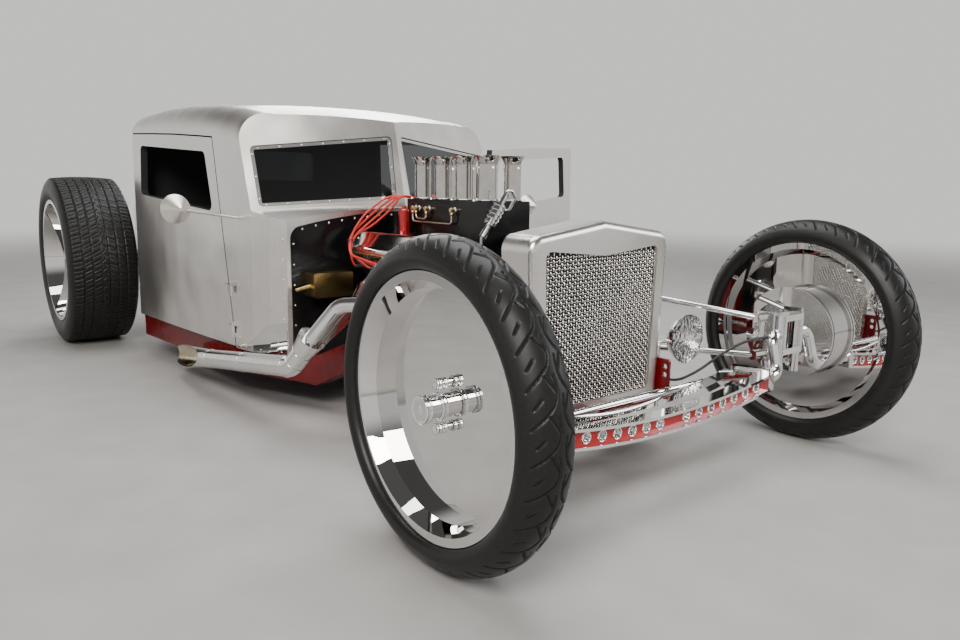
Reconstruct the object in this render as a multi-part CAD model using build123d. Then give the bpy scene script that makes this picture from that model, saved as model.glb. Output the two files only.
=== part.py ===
from build123d import *
from math import cos, radians, sin, tan
import os

# Closed-cab street rod with an open V8, in millimetres.
# +Z is up, the nose points to -Y, and +X is the car's left.
# The origin lies on the ground, midway between the two ends of the tyres.

# Overall layout
WHEELBASE = 3127.0
FRONT_AXLE_Y = -1592.0
REAR_AXLE_Y = FRONT_AXLE_Y + WHEELBASE
RUN_FIT = 0.05
SEAT_GAP = 0.3

# Front wheels
FRONT_TYRE_R = 370.0
FRONT_TYRE_W = 128.0
FRONT_WHEEL_X = 749.0
FRONT_LIP_R = 295.0
FRONT_LIP_HALF = 48.5
FRONT_SEAT_R = 281.0
FRONT_DISC_OFFSET = -14.0
FRONT_DISC_T = 10.0
FRONT_HUB_R = 27.0
FRONT_HUB_OUT = 61.0
FRONT_HUB_IN = -85.0
SPINDLE_R = 20.0
HUB_WALL = 14.0
LUG_CIRCLE_R = 50.0
LUG_R = 8.0
LUG_LENGTH = 34.0

# Rear wheels
REAR_TYRE_R = 427.0
REAR_TYRE_W = 320.0
REAR_WHEEL_X = 813.0
REAR_LIP_R = 309.0
REAR_LIP_HALF = 150.0
REAR_SEAT_R = 296.0
REAR_DISC_OFFSET = -20.0
REAR_DISC_T = 14.0
REAR_HUB_R = 45.0
REAR_HUB_OUT = 30.0
REAR_HUB_IN = -115.0
AXLE_STUB_R = 25.0

# Rim and tyre sections
FLANGE_T = 6.5
RIM_WALL = 6.0
WELL_DEPTH = 18.0
TYRE_WALL = 9.0
BEAD_W = 10.0

# Brakes
FRONT_DRUM_R = 146.0
REAR_DRUM_R = 150.0
DRUM_WALL = 10.0
DRUM_RIDGE = 6.0
BACKING_T = 8.0
BACKING_GAP = 5.0

# Front axle and steering
KINGPIN_X = 600.0
KINGPIN_R = 11.0
AXLE_AHEAD = 42.0
AXLE_LOOP_X = 546.0
AXLE_LOOP_R = 20.0
AXLE_EYE_R = 24.0
AXLE_EYE_HEIGHT = 90.0
AXLE_MID_Z = 206.0
AXLE_END_X = 480.0
AXLE_END_Z = 246.0
AXLE_DEPTH = 56.0
AXLE_FLANGE_W = 44.0
AXLE_FLANGE_T = 8.0
AXLE_WEB_T = 12.0
AXLE_HOLE_R = 13.0
AXLE_HOLE_PITCH = 57.8
AXLE_HOLES_SIDE = 7
STEER_ARM_LENGTH = 120.0
STEER_ARM_INSET = 40.0
STEER_ARM_T = 14.0
STEER_ARM_Z = 236.0
TIE_ROD_R = 12.0
TIE_EYE_R = 18.0
TIE_EYE_HALF = 14.0

# Frame
RAIL_TOP_Z = 195.0
RAIL_HEIGHT = 100.0
RAIL_WIDTH = 60.0
RAIL_INSET = 18.0
FRONT_RAIL_X = 300.0
FRONT_RAIL_W = 50.0
FRONT_RAIL_TOP_Z = 320.0
FRONT_RAIL_HEIGHT = 80.0
KICK_RAIL_X = 400.0
KICK_TOP_Z = REAR_TYRE_R + 113.0
KICK_HEIGHT = 50.0
FRAME_END_Y = REAR_AXLE_Y + 255.0
HORN_X = 284.0
HORN_T = 10.0
HORN_AHEAD = 35.0
HORN_FOOT_Z = 142.0
HORN_NOSE_Z = 206.0
HORN_TOP_Z = 292.0
HORN_HOLE_R = 9.0
HORN_HOLE_HEIGHTS = (240.0, 267.0)
CROSS_TUBE_R = 30.0

# Cab: stations give Y, half width, drip height and crown height
CAB_STATIONS = (
    (-330.0, 468.0, 950.0, 1046.0),
    (-262.0, 505.0, 962.0, 1066.0),
    (-200.0, 546.0, 974.0, 1086.0),
    (-120.0, 582.0, 988.0, 1108.0),
    (-30.0, 599.0, 1001.0, 1130.0),
    (90.0, 613.0, 1013.0, 1150.0),
    (270.0, 633.0, 1026.0, 1168.0),
    (520.0, 657.0, 1042.0, 1184.0),
    (770.0, 678.0, 1053.0, 1184.0),
    (1008.0, 695.0, 1062.0, 1170.0),
)
CAB_BACK = (1090.0, 620.0, 1012.0, 1112.0)
CAB_WALL = 30.0
CAB_LEAN = 14.0
ROOF_CORNER = 150.0
ROOF_ARCH = 25.0
COWL_Z = 740.0
COWL_CROWN_R = 1950.0
COWL_BACK_Y = 100.0
COWL_BACK_Z = 826.0
COWL_BACK_CROWN_R = 20000.0
PROW_ANGLE = 5.5
SCREEN_SWEEP = 17.0
SCREEN_RAKE = 13.6
SCREEN_FOOT_Y = -296.0
PANE_OUTLINE = ((34.0, 40.0), (568.0, 8.0), (590.0, 238.0), (40.0, 294.0))
PANE_T = 6.0
PANE_CORNER_R = 18.0
FRAME_BAND = 14.0
FRAME_BAND_T = 3.0
FIREWALL_Y = -310.0
FIREWALL_T = 4.0
FIREWALL_EDGE = 7.0
FIREWALL_CORNER_R = 48.0
BRASS_BOX = (-433.0, -272.0, 419.0, 511.0)
BRASS_BOX_OUT = 36.0
FLOOR_T = 8.0
FLOOR_TOP_Z = RAIL_TOP_Z + FLOOR_T
TUNNEL_HALF = 128.0
TUNNEL_TOP_Z = 478.0

# Doors
DOOR_FRONT_Y = 8.0
DOOR_LEAN = 0.185
DOOR_REAR_Y = 1008.0
DOOR_GAP = 6.0
DOOR_TOP_DROP = 10.0
DOOR_OPEN_ANGLE = 67.0
HINGE_X = 610.0
HINGE_Y = 10.0
HINGE_R = 6.0
HINGE_PIN_R = 3.5
HINGE_HEIGHTS = (240.0, 400.0)
KNUCKLE_LENGTH = 16.0
DOOR_KNUCKLE_LENGTH = 26.0
LEAF_LENGTH = 34.0
LEAF_T = 3.0
LEAF_GAP = 1.0

# Cabin
SEAT_FRONT_Y = 400.0
SEAT_CUSHION = 165.0
SEAT_HEIGHT = 540.0
SEAT_WIDTH = 380.0
DASH_Y = -150.0
DASH_FOOT_Z = 600.0
DASH_TOP_Z = 690.0
COLUMN_X = 300.0
COLUMN_FOOT = (COLUMN_X, -290.0, 460.0)
COLUMN_TOP = (COLUMN_X, 150.0, 625.0)
COLUMN_R = 19.0
COLUMN_STUB = 30.0
COLUMN_STUB_R = 9.0
STEER_HUB_R = 26.0
STEER_HUB_T = 38.0
STEER_WHEEL_R = 165.0
STEER_GRIP_R = 12.0

# Mirrors on the cowl
MIRROR_ROOT = (592.0, -30.0, 705.0)
MIRROR_HEAD = (835.0, -125.0, 742.0)
MIRROR_R = 52.0
MIRROR_DEPTH = 62.0
MIRROR_ARM_R = 6.0

# Tail between the rear wheels
TAIL_HALF_FRONT = 590.0
TAIL_HALF_REAR = 500.0
TAIL_END_Y = REAR_AXLE_Y + 295.0
TAIL_FLOOR_Z = REAR_TYRE_R + 133.0
TAIL_TOP_Z = TAIL_FLOOR_Z + 240.0
TAIL_CORNER_R = 160.0
TAIL_WALL = 12.0

# Radiator and lamps
RADIATOR_Y = -1367.0
RADIATOR_DEPTH = 125.0
RADIATOR_FOOT_Z = 190.0
RADIATOR_SHOULDER_Z = 700.0
RADIATOR_PEAK_Z = 741.0
RADIATOR_HALF_TOP = 297.0
RADIATOR_HALF_FOOT = 274.0
SHELL_WALL = 10.0
SHELL_EDGE_R = 22.0
SHOULDER_R = 46.0
GRILLE_TOP_Z = 662.0
GRILLE_DIP_Z = 639.0
GRILLE_FOOT_Z = 204.0
GRILLE_HALF_TOP = 240.0
GRILLE_HALF_FOOT = 226.0
GRILLE_CORNER_R = 20.0
GRILLE_WIRE = 4.0
GRILLE_PITCH = 22.0
LAMP_X = 385.0
LAMP_Y = -1392.0
LAMP_Z = 348.0
LAMP_R = 82.0
LAMP_DEPTH = 72.0
LENS_DEPTH = 14.0
LENS_EDGE = 4.0
LAMP_STALK_R = 6.0
HOSE_R = 24.0
HOSE_Z = 640.0

# Engine
ENGINE_FRONT_Y = -972.0
ENGINE_REAR_Y = -362.0
CRANK_Z = 360.0
BANK_ANGLE = 45.0
BANK_HALF = 65.0
DECK_LENGTH = 230.0
HEAD_LENGTH = 100.0
COVER_LENGTH = 62.0
STACK_ROW_X = 56.0
STACK_LAST_Y = -502.0
STACK_PITCH = 125.0
STACK_ROWS = 4
STACK_FIRST_Y = STACK_LAST_Y - (STACK_ROWS - 1) * STACK_PITCH
STACK_FOOT_Z = 785.0
STACK_TOP_Z = 936.0
STACK_R = 31.0
STACK_MOUTH_R = 42.0
STACK_WALL = 2.5
MANIFOLD_HALF = 95.0
MANIFOLD_END = 50.0
VALLEY_LENGTH = 180.0
NOZZLE_Z = 752.0
CAN_R = 22.0
CAN_TOP_Z = 748.0
CAN_LENGTH = 128.0
DISTRIBUTOR_Y = -400.0
DISTRIBUTOR_R = 32.0
CAP_FOOT_Z = 735.0
CAP_TOP_Z = 800.0
CAP_R = 44.0
PLUG_PLACES = (-430.0, -545.0, -670.0, -795.0)
WIRE_TIE = (318.0, -416.0, 632.0)
WIRE_SPACE = 9.4
FILTER_Y = -1030.0
FILTER_R = 18.0
FUEL_LINE_R = 3.5
WIRE_R = 4.0
GEARBOX_R = 100.0
DRIVESHAFT_R = 35.0
GEARBOX_END_Y = 150.0
GEARBOX_MOUNT_Y = -250.0

# Exhaust
PRIMARY_R = 26.0
PRIMARY_FALL = 40.0
COLLECTOR_R = 48.0
PIPE_R = 36.0
TIP_R = 56.0
TIP_X = 736.0
TIP_Y = 465.0
TIP_Z = 101.0
TIP_LENGTH = 430.0
PIPE_CORNER = (628.0, -560.0, 232.0)
COLLECTOR = (596.0, -645.0, 335.0)
COLLECTOR_LENGTH = 70.0
TIP_WALL = 3.0

# Front spring and radius rods
SPRING_T = 22.0
SPRING_WIDTH = 45.0
SPRING_TO = 98.0
SPRING_END_X = 456.0
PERCH_HALF = 50.0
HOSE_LINE_R = 4.5
LINK_R = 10.0
LINK_EYE_R = 16.0
LINK_EYE_T = 24.0
LINK_PLATE_T = 10.0
LINK_AXLE_X = 548.0
LINK_BRACKET_Y = 50.0
LINK_FRAME_X = 320.0
LINK_FRAME_Y = -1050.0
LINK_HEIGHTS = ((425.0, 490.0), (300.0, 285.0))

# Rear suspension
DIFF_R = 112.0
DIFF_HALF = 105.0
LOWER_ARM_X = 560.0
COIL_FOOT = (500.0, REAR_AXLE_Y + 30.0, REAR_TYRE_R - 52.0)
COIL_TOP = (215.0, REAR_AXLE_Y + 195.0, KICK_TOP_Z - 40.0)

LEFT = 1
RIGHT = -1


# Basic shapes

def front_plane(y):
    """A plane across the car that shows X to the right and Z up."""
    return Plane(origin=(0, y, 0), x_dir=(1, 0, 0), z_dir=(0, -1, 0))


def side_plane(x):
    """A plane along the car that shows Y to the right and Z up."""
    return Plane(origin=(x, 0, 0), x_dir=(0, 1, 0), z_dir=(1, 0, 0))


def across(sketch, y_front, y_rear):
    """Extrude a front view sketch from y_rear forward to y_front."""
    return extrude(front_plane(y_rear) * sketch, y_rear - y_front)


def along(sketch, x_from, x_to):
    """Extrude a side view sketch from x_from to x_to."""
    return extrude(side_plane(x_from) * sketch, x_to - x_from)


def upright(sketch, z_from, z_to):
    """Extrude a plan sketch from z_from to z_to."""
    return extrude(Plane.XY.offset(z_from) * sketch, z_to - z_from)


def polygon(*points):
    return make_face(Polyline(*points, close=True))


def block(x_from, x_to, y_from, y_to, z_from, z_to):
    size = (x_to - x_from, y_to - y_from, z_to - z_from)
    centre = ((x_from + x_to) / 2, (y_from + y_to) / 2, (z_from + z_to) / 2)
    return Pos(*centre) * Box(*size)


def rod(start, end, radius):
    """A round bar between two points."""
    run = Vector(*end) - Vector(*start)
    return extrude(Plane(origin=start, z_dir=run) * Circle(radius), run.length)


def spun(profile, x, y, z):
    """Turn a section, drawn as distance along X and radius, about an axle."""
    return Pos(x, y, z) * revolve(Plane.XZ * profile, Axis.X)


def bent_tube(points, radii, radius):
    """A tube along straight runs joined by tangent arcs."""
    path = FilletPolyline(*points, radius=radii)
    start = Plane(origin=path @ 0, z_dir=path % 0)
    return sweep(start * Circle(radius), path=path)


def mirrored(shape):
    return mirror(shape, about=Plane.YZ)


def both_sides(shape):
    return [shape, mirrored(shape)]


def save(node, *shapes):
    """Write every solid of the given shapes as one sub-part."""
    solids = [solid for shape in shapes for solid in shape.solids()]
    whole = solids[0] if len(solids) == 1 else Compound(children=solids)
    export_step(whole, f"parts/{node}.step")


# Wheels

def rim_section(lip_r, lip_half, seat_r, disc_at, disc_t, hub_r, hub_out, hub_in, stub_r):
    """Barrel, flat disc and hub of a wheel, drawn on its outer side."""
    flange_in = lip_half - FLANGE_T
    bed = 0.43 * lip_half
    well = 0.28 * lip_half
    well_r = seat_r - WELL_DEPTH
    inner_r = well_r - RIM_WALL
    bore_r = stub_r + RUN_FIT
    sleeve_r = bore_r + HUB_WALL
    bore_end = hub_out - HUB_WALL
    disc_in = disc_at - disc_t
    return polygon(
        (-lip_half, seat_r - RIM_WALL),
        (-lip_half, lip_r),
        (-flange_in, lip_r),
        (-flange_in, seat_r),
        (-bed, seat_r),
        (-well, well_r),
        (well, well_r),
        (bed, seat_r),
        (flange_in, seat_r),
        (flange_in, lip_r),
        (lip_half, lip_r),
        (lip_half, seat_r - RIM_WALL),
        (well, inner_r),
        (disc_at, inner_r),
        (disc_at, hub_r),
        (hub_out, hub_r),
        (hub_out, 0),
        (bore_end, 0),
        (bore_end, bore_r),
        (hub_in, bore_r),
        (hub_in, sleeve_r),
        (disc_in, sleeve_r),
        (disc_in, inner_r),
    )


def tyre_section(tyre_r, width, lip_r, lip_half, seat_r, shoulder_half, shoulder_r):
    """Hollow tyre whose beads rest on the rim's two seats."""
    half = width / 2
    bead = lip_half - FLANGE_T - SEAT_GAP
    bead_r = seat_r + SEAT_GAP
    wide_r = (lip_r + shoulder_r) / 2
    edge_r = lip_r + 2
    inner_edge = bead - BEAD_W
    right = Line((bead, bead_r), (bead, edge_r))
    right += ThreePointArc((bead, edge_r), (half, wide_r), (shoulder_half, shoulder_r))
    left = Line((-bead, edge_r), (-bead, bead_r))
    left += ThreePointArc((-shoulder_half, shoulder_r), (-half, wide_r), (-bead, edge_r))
    crown = ThreePointArc((shoulder_half, shoulder_r), (0, tyre_r), (-shoulder_half, shoulder_r))
    in_half = half - TYRE_WALL
    in_shoulder = shoulder_half - TYRE_WALL
    in_shoulder_r = shoulder_r - TYRE_WALL
    inside = Line((-bead, bead_r), (-inner_edge, bead_r))
    inside += Line((-inner_edge, bead_r), (-in_half, wide_r))
    inside += Line((-in_half, wide_r), (-in_shoulder, in_shoulder_r))
    inside += ThreePointArc(
        (-in_shoulder, in_shoulder_r), (0, tyre_r - TYRE_WALL), (in_shoulder, in_shoulder_r)
    )
    inside += Line((in_shoulder, in_shoulder_r), (in_half, wide_r))
    inside += Line((in_half, wide_r), (inner_edge, bead_r))
    inside += Line((inner_edge, bead_r), (bead, bead_r))
    return make_face(right + crown + left + inside)


def drum_section(radius, face_at, open_at, bore_r):
    """Brake drum with a ridge round its open edge."""
    ridge_from = open_at + DRUM_WALL
    return polygon(
        (face_at, bore_r),
        (face_at, radius),
        (ridge_from, radius),
        (ridge_from, radius + DRUM_RIDGE),
        (open_at, radius + DRUM_RIDGE),
        (open_at, radius - DRUM_WALL),
        (face_at - DRUM_WALL, radius - DRUM_WALL),
        (face_at - DRUM_WALL, bore_r),
    )


def front_wheel():
    centre = (FRONT_WHEEL_X, FRONT_AXLE_Y, FRONT_TYRE_R)
    rim = spun(
        rim_section(
            FRONT_LIP_R,
            FRONT_LIP_HALF,
            FRONT_SEAT_R,
            FRONT_DISC_OFFSET,
            FRONT_DISC_T,
            FRONT_HUB_R,
            FRONT_HUB_OUT,
            FRONT_HUB_IN,
            SPINDLE_R,
        ),
        *centre,
    )
    lug_x = FRONT_WHEEL_X + FRONT_DISC_OFFSET
    for side in (1, -1):
        lug_z = FRONT_TYRE_R + side * LUG_CIRCLE_R
        rim += rod((lug_x, FRONT_AXLE_Y, lug_z), (lug_x + LUG_LENGTH, FRONT_AXLE_Y, lug_z), LUG_R)
    tyre = spun(
        tyre_section(
            FRONT_TYRE_R,
            FRONT_TYRE_W,
            FRONT_LIP_R,
            FRONT_LIP_HALF,
            FRONT_SEAT_R,
            FRONT_TYRE_W / 2 - 3,
            FRONT_LIP_R + 36,
        ),
        *centre,
    )
    drum = spun(
        drum_section(
            FRONT_DRUM_R,
            FRONT_DISC_OFFSET - FRONT_DISC_T,
            FRONT_HUB_IN,
            SPINDLE_R + RUN_FIT + HUB_WALL,
        ),
        *centre,
    )
    return rim + drum, tyre


def rear_wheel():
    centre = (REAR_WHEEL_X, REAR_AXLE_Y, REAR_TYRE_R)
    rim = spun(
        rim_section(
            REAR_LIP_R,
            REAR_LIP_HALF,
            REAR_SEAT_R,
            REAR_DISC_OFFSET,
            REAR_DISC_T,
            REAR_HUB_R,
            REAR_HUB_OUT,
            REAR_HUB_IN,
            AXLE_STUB_R,
        ),
        *centre,
    )
    tyre = spun(
        tyre_section(
            REAR_TYRE_R,
            REAR_TYRE_W,
            REAR_LIP_R,
            REAR_LIP_HALF,
            REAR_SEAT_R,
            REAR_TYRE_W / 2 - 22,
            REAR_TYRE_R - 8,
        ),
        *centre,
    )
    drum = spun(
        drum_section(
            REAR_DRUM_R,
            REAR_DISC_OFFSET - REAR_DISC_T,
            REAR_HUB_IN,
            AXLE_STUB_R + RUN_FIT + HUB_WALL,
        ),
        *centre,
    )
    return rim + drum, tyre


# Front axle, knuckles and steering

def axle_band(height):
    """Front view of the beam's gentle sweep, as deep as the given height."""
    drop = AXLE_END_Z - AXLE_MID_Z
    top = ThreePointArc(
        (-AXLE_END_X, AXLE_MID_Z + drop + height / 2),
        (0, AXLE_MID_Z + height / 2),
        (AXLE_END_X, AXLE_MID_Z + drop + height / 2),
    )
    foot = ThreePointArc(
        (AXLE_END_X, AXLE_MID_Z + drop - height / 2),
        (0, AXLE_MID_Z - height / 2),
        (-AXLE_END_X, AXLE_MID_Z + drop - height / 2),
    )
    return make_face(top + Line(top @ 1, foot @ 0) + foot + Line(foot @ 1, top @ 0))


def axle_loop():
    """Round forged end that curls up and back from the beam to the kingpin eye."""
    beam_y = FRONT_AXLE_Y - AXLE_AHEAD
    path = [
        (AXLE_END_X - 26, beam_y, AXLE_END_Z - 3),
        (AXLE_LOOP_X - 6, beam_y + 3, AXLE_END_Z + 12),
        (AXLE_LOOP_X, FRONT_AXLE_Y - 8, FRONT_TYRE_R),
        (KINGPIN_X, FRONT_AXLE_Y, FRONT_TYRE_R),
    ]
    return bent_tube(path, (38, 30), AXLE_LOOP_R)


def axle_beam_and_web():
    beam_y = FRONT_AXLE_Y - AXLE_AHEAD
    y_from = beam_y - AXLE_FLANGE_W / 2
    y_to = beam_y + AXLE_FLANGE_W / 2
    beam = across(axle_band(AXLE_DEPTH), y_from, y_to)
    inner = across(axle_band(AXLE_DEPTH - 2 * AXLE_FLANGE_T), y_from - 1, y_to + 1)
    pocket_x = AXLE_END_X - 30
    pocket = block(-pocket_x, pocket_x, y_from - 2, y_to + 2, 0, FRONT_TYRE_R)
    beam -= inner & pocket
    web = across(
        axle_band(AXLE_DEPTH - 2 * AXLE_FLANGE_T),
        beam_y - AXLE_WEB_T / 2,
        beam_y + AXLE_WEB_T / 2,
    )
    web &= pocket
    sweep_r = (AXLE_END_X**2 + (AXLE_END_Z - AXLE_MID_Z) ** 2) / (2 * (AXLE_END_Z - AXLE_MID_Z))
    for n in range(1, AXLE_HOLES_SIDE + 1):
        x = n * AXLE_HOLE_PITCH
        z = AXLE_MID_Z + sweep_r - (sweep_r**2 - x**2) ** 0.5
        for hole in both_sides(rod((x, y_from, z), (x, y_to, z), AXLE_HOLE_R)):
            web -= hole
    eye = Pos(KINGPIN_X, FRONT_AXLE_Y, FRONT_TYRE_R)
    end = axle_loop() + eye * Cylinder(AXLE_EYE_R, AXLE_EYE_HEIGHT) + axle_brackets()
    end -= eye * Cylinder(KINGPIN_R + RUN_FIT, 3 * AXLE_EYE_HEIGHT)
    return beam + end + mirrored(end), web


def knuckle():
    """Kingpin, its two ears, the spindle, the backing plate and the steering arm."""
    y = FRONT_AXLE_Y
    z = FRONT_TYRE_R
    ear_t = 20.0
    half = AXLE_EYE_HEIGHT / 2
    backing_x = FRONT_WHEEL_X + FRONT_HUB_IN - BACKING_GAP - BACKING_T
    spindle_end = FRONT_WHEEL_X + FRONT_HUB_OUT - HUB_WALL - 9
    body = Pos(KINGPIN_X, y, z) * Cylinder(KINGPIN_R, 2 * (half + ear_t))
    for side in (1, -1):
        ear_from = z + side * (half + SEAT_GAP)
        ear_to = z + side * (half + ear_t)
        ear = rod((KINGPIN_X, y, ear_from), (KINGPIN_X, y, ear_to), AXLE_EYE_R)
        low, high = sorted((ear_from, ear_to))
        body += ear + block(KINGPIN_X, backing_x, y - AXLE_EYE_R, y + AXLE_EYE_R, low, high)
    body += rod((backing_x, y, z), (backing_x + BACKING_T, y, z), FRONT_DRUM_R + DRUM_RIDGE)
    body += rod((backing_x, y, z), (spindle_end, y, z), SPINDLE_R)
    arm_end = (KINGPIN_X - STEER_ARM_INSET, y + STEER_ARM_LENGTH)
    arm = polygon(
        (KINGPIN_X - 6, y),
        (KINGPIN_X + 20, y),
        (arm_end[0] + 16, arm_end[1]),
        (arm_end[0] - 16, arm_end[1]),
    )
    foot = z - half - ear_t
    body += upright(arm, STEER_ARM_Z, STEER_ARM_Z + STEER_ARM_T)
    body += Pos(arm_end[0], arm_end[1], STEER_ARM_Z + STEER_ARM_T / 2) * Cylinder(
        TIE_EYE_R, STEER_ARM_T
    )
    body += rod((KINGPIN_X, y, STEER_ARM_Z), (KINGPIN_X, y, foot + 2), AXLE_EYE_R - 6)
    return body


def tie_rod():
    """Cross tube behind the axle, its eyes just under the two steering arms."""
    x = KINGPIN_X - STEER_ARM_INSET
    y = FRONT_AXLE_Y + STEER_ARM_LENGTH
    top = STEER_ARM_Z - SEAT_GAP
    z = top - TIE_EYE_HALF
    tube = rod((-x, y, z), (x, y, z), TIE_ROD_R)
    for side in (LEFT, RIGHT):
        tube += Pos(side * x, y, z) * Cylinder(TIE_EYE_R, 2 * TIE_EYE_HALF)
    return tube


# Frame

def cab_half_width(y):
    """Half width of the cab, read along straight lines between its stations."""
    for (y0, w0, _, _), (y1, w1, _, _) in zip(CAB_STATIONS, CAB_STATIONS[1:]):
        if y0 <= y <= y1:
            return w0 + (w1 - w0) * (y - y0) / (y1 - y0)
    return CAB_STATIONS[-1][1] if y > CAB_STATIONS[-1][0] else CAB_STATIONS[0][1]


def rail_front():
    """Where the rails begin, just behind the radiator."""
    return RADIATOR_Y + RADIATOR_DEPTH + 20


def frame_rail():
    """Left rail: its plan and its side view, each extruded, where they meet."""
    door_x = cab_half_width(DOOR_FRONT_Y) - RAIL_INSET
    rear_x = cab_half_width(DOOR_REAR_Y) - RAIL_INSET
    fire_x = cab_half_width(FIREWALL_Y) - RAIL_INSET
    start_y = rail_front()
    outer = (
        (FRONT_RAIL_X, start_y, FRONT_RAIL_W),
        (FRONT_RAIL_X + 5, -900, FRONT_RAIL_W),
        (fire_x, FIREWALL_Y + 10, RAIL_WIDTH),
        (door_x, DOOR_FRONT_Y, RAIL_WIDTH),
        (rear_x, DOOR_REAR_Y, RAIL_WIDTH),
        (KICK_RAIL_X, DOOR_REAR_Y + 240, RAIL_WIDTH),
        (KICK_RAIL_X, FRAME_END_Y, RAIL_WIDTH),
    )
    inner = [(x - width, y) for x, y, width in reversed(outer)]
    plan = polygon(*[(x, y) for x, y, _ in outer], *inner)
    front_foot = FRONT_RAIL_TOP_Z - FRONT_RAIL_HEIGHT
    foot = RAIL_TOP_Z - RAIL_HEIGHT
    profile = polygon(
        (start_y - 1, FRONT_RAIL_TOP_Z),
        (-620, FRONT_RAIL_TOP_Z),
        (-330, RAIL_TOP_Z),
        (DOOR_REAR_Y + 90, RAIL_TOP_Z),
        (DOOR_REAR_Y + 270, KICK_TOP_Z),
        (FRAME_END_Y + 1, KICK_TOP_Z),
        (FRAME_END_Y + 1, KICK_TOP_Z - KICK_HEIGHT),
        (DOOR_REAR_Y + 330, KICK_TOP_Z - KICK_HEIGHT),
        (DOOR_REAR_Y + 130, foot),
        (-360, foot),
        (-640, front_foot),
        (start_y - 1, front_foot),
    )
    return upright(plan, 0, KICK_TOP_Z + 10) & along(profile, 0, CAB_STATIONS[-1][1])


def frame_horn():
    """Drilled plate that reaches forward from the left rail beside the radiator."""
    nose_y = RADIATOR_Y - HORN_AHEAD
    back_y = rail_front() + 80
    plate = polygon(
        (nose_y, HORN_NOSE_Z),
        (nose_y, HORN_TOP_Z),
        (back_y, HORN_TOP_Z),
        (back_y, HORN_NOSE_Z + 44),
        (rail_front(), HORN_FOOT_Z),
        (nose_y + 30, HORN_FOOT_Z),
    )
    plate = fillet([v for v in plate.vertices() if v.X < nose_y + 1], 10)
    horn = along(plate, HORN_X, HORN_X + HORN_T)
    hole_y = nose_y + 17
    for z in HORN_HOLE_HEIGHTS:
        horn -= rod((HORN_X - 1, hole_y, z), (HORN_X + HORN_T + 1, hole_y, z), HORN_HOLE_R)
    return horn


def frame():
    side = frame_rail() + frame_horn() + link_tower()
    whole = side + mirrored(side)
    shelf_top = RADIATOR_FOOT_Z
    shelf_x = HORN_X + 1
    whole += block(-shelf_x, shelf_x, RADIATOR_Y + 2, RADIATOR_Y + 110, HORN_FOOT_Z, shelf_top)
    perch_y = FRONT_AXLE_Y + SPRING_TO - SPRING_WIDTH
    whole += block(-PERCH_HALF, PERCH_HALF, perch_y, RADIATOR_Y + 3, HORN_FOOT_Z, shelf_top)
    middle_z = RAIL_TOP_Z - RAIL_HEIGHT / 2
    for y in (GEARBOX_MOUNT_Y, DOOR_REAR_Y - 18):
        reach = cab_half_width(y) - RAIL_INSET - RAIL_WIDTH / 2
        whole += rod((-reach, y, middle_z - 10), (reach, y, middle_z - 10), CROSS_TUBE_R)
    saddle = block(-40, 40, GEARBOX_MOUNT_Y - 20, GEARBOX_MOUNT_Y + 20, middle_z, CRANK_Z)
    whole += saddle - rod((0, -900, CRANK_Z), (0, 900, CRANK_Z), GEARBOX_R + SEAT_GAP)
    rear_z = KICK_TOP_Z - KICK_HEIGHT / 2
    reach = KICK_RAIL_X - RAIL_WIDTH / 2
    whole += rod((-reach, FRAME_END_Y - 60, rear_z), (reach, FRAME_END_Y - 60, rear_z), 24)
    return whole


# Cab

def cab_section(half_width, drip, crown, inset):
    """Front view of the cab: leaning sides, round roof corners and an arched crown."""
    quarter = radians(45)
    foot = RAIL_TOP_Z if inset == 0 else RAIL_TOP_Z - 50
    side = (half_width - inset, foot)
    gutter = (half_width - CAB_LEAN - inset, drip)
    shoulder = (half_width - ROOF_CORNER, crown - ROOF_ARCH - inset)
    middle = (
        shoulder[0] + (gutter[0] - shoulder[0]) * cos(quarter),
        gutter[1] + (shoulder[1] - gutter[1]) * sin(quarter),
    )
    left = [(-x, z) for x, z in (side, gutter, middle, shoulder)]
    outline = Line(side, gutter) + ThreePointArc(gutter, middle, shoulder)
    outline += ThreePointArc(shoulder, (0, crown - inset), left[3])
    outline += ThreePointArc(left[3], left[2], left[1]) + Line(left[1], left[0])
    outline += Line(left[0], side)
    return make_face(outline)


def wedge(point_y, angle, z_from, z_to, rake=0.0):
    """Everything ahead of a V-shaped front whose point is at point_y."""
    reach = 900.0
    corner_y = point_y + reach * tan(radians(angle))
    plan = polygon(
        (0, point_y), (reach, corner_y), (reach, -reach), (-reach, -reach), (-reach, corner_y)
    )
    lean = (0, sin(radians(rake)), cos(radians(rake)))
    height = (z_to - z_from) / cos(radians(rake))
    return extrude(Plane.XY.offset(z_from) * plan, height, dir=lean)


def cab_form(inset):
    """Outside of the cab, or the space inside it for an inset of the wall."""
    faces = [
        front_plane(y) * cab_section(half_width, drip, crown, inset)
        for y, half_width, drip, crown in CAB_STATIONS
    ]
    form = loft(faces, ruled=True)
    back_y, back_half, back_drip, back_crown = CAB_BACK
    back = front_plane(back_y - inset) * cab_section(back_half, back_drip, back_crown, inset)
    form += loft([faces[-1], back], ruled=True)
    foot_y = SCREEN_FOOT_Y + inset / cos(radians(SCREEN_SWEEP))
    low_z = COWL_Z - 180
    low_y = foot_y - (COWL_Z - low_z) * tan(radians(SCREEN_RAKE))
    notch = wedge(low_y, SCREEN_SWEEP, low_z, 1400, SCREEN_RAKE)
    return form - (notch - under_cowl(inset))


def crowned(y, top, crown_r):
    """Front view face of everything under an arched top."""
    half = 900.0
    side = top - half**2 / (2 * crown_r)
    arch = ThreePointArc((half, side), (0, top), (-half, side))
    rest = Polyline((-half, side), (-half, -half), (half, -half), (half, side))
    return front_plane(y) * make_face(arch + rest)


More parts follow.
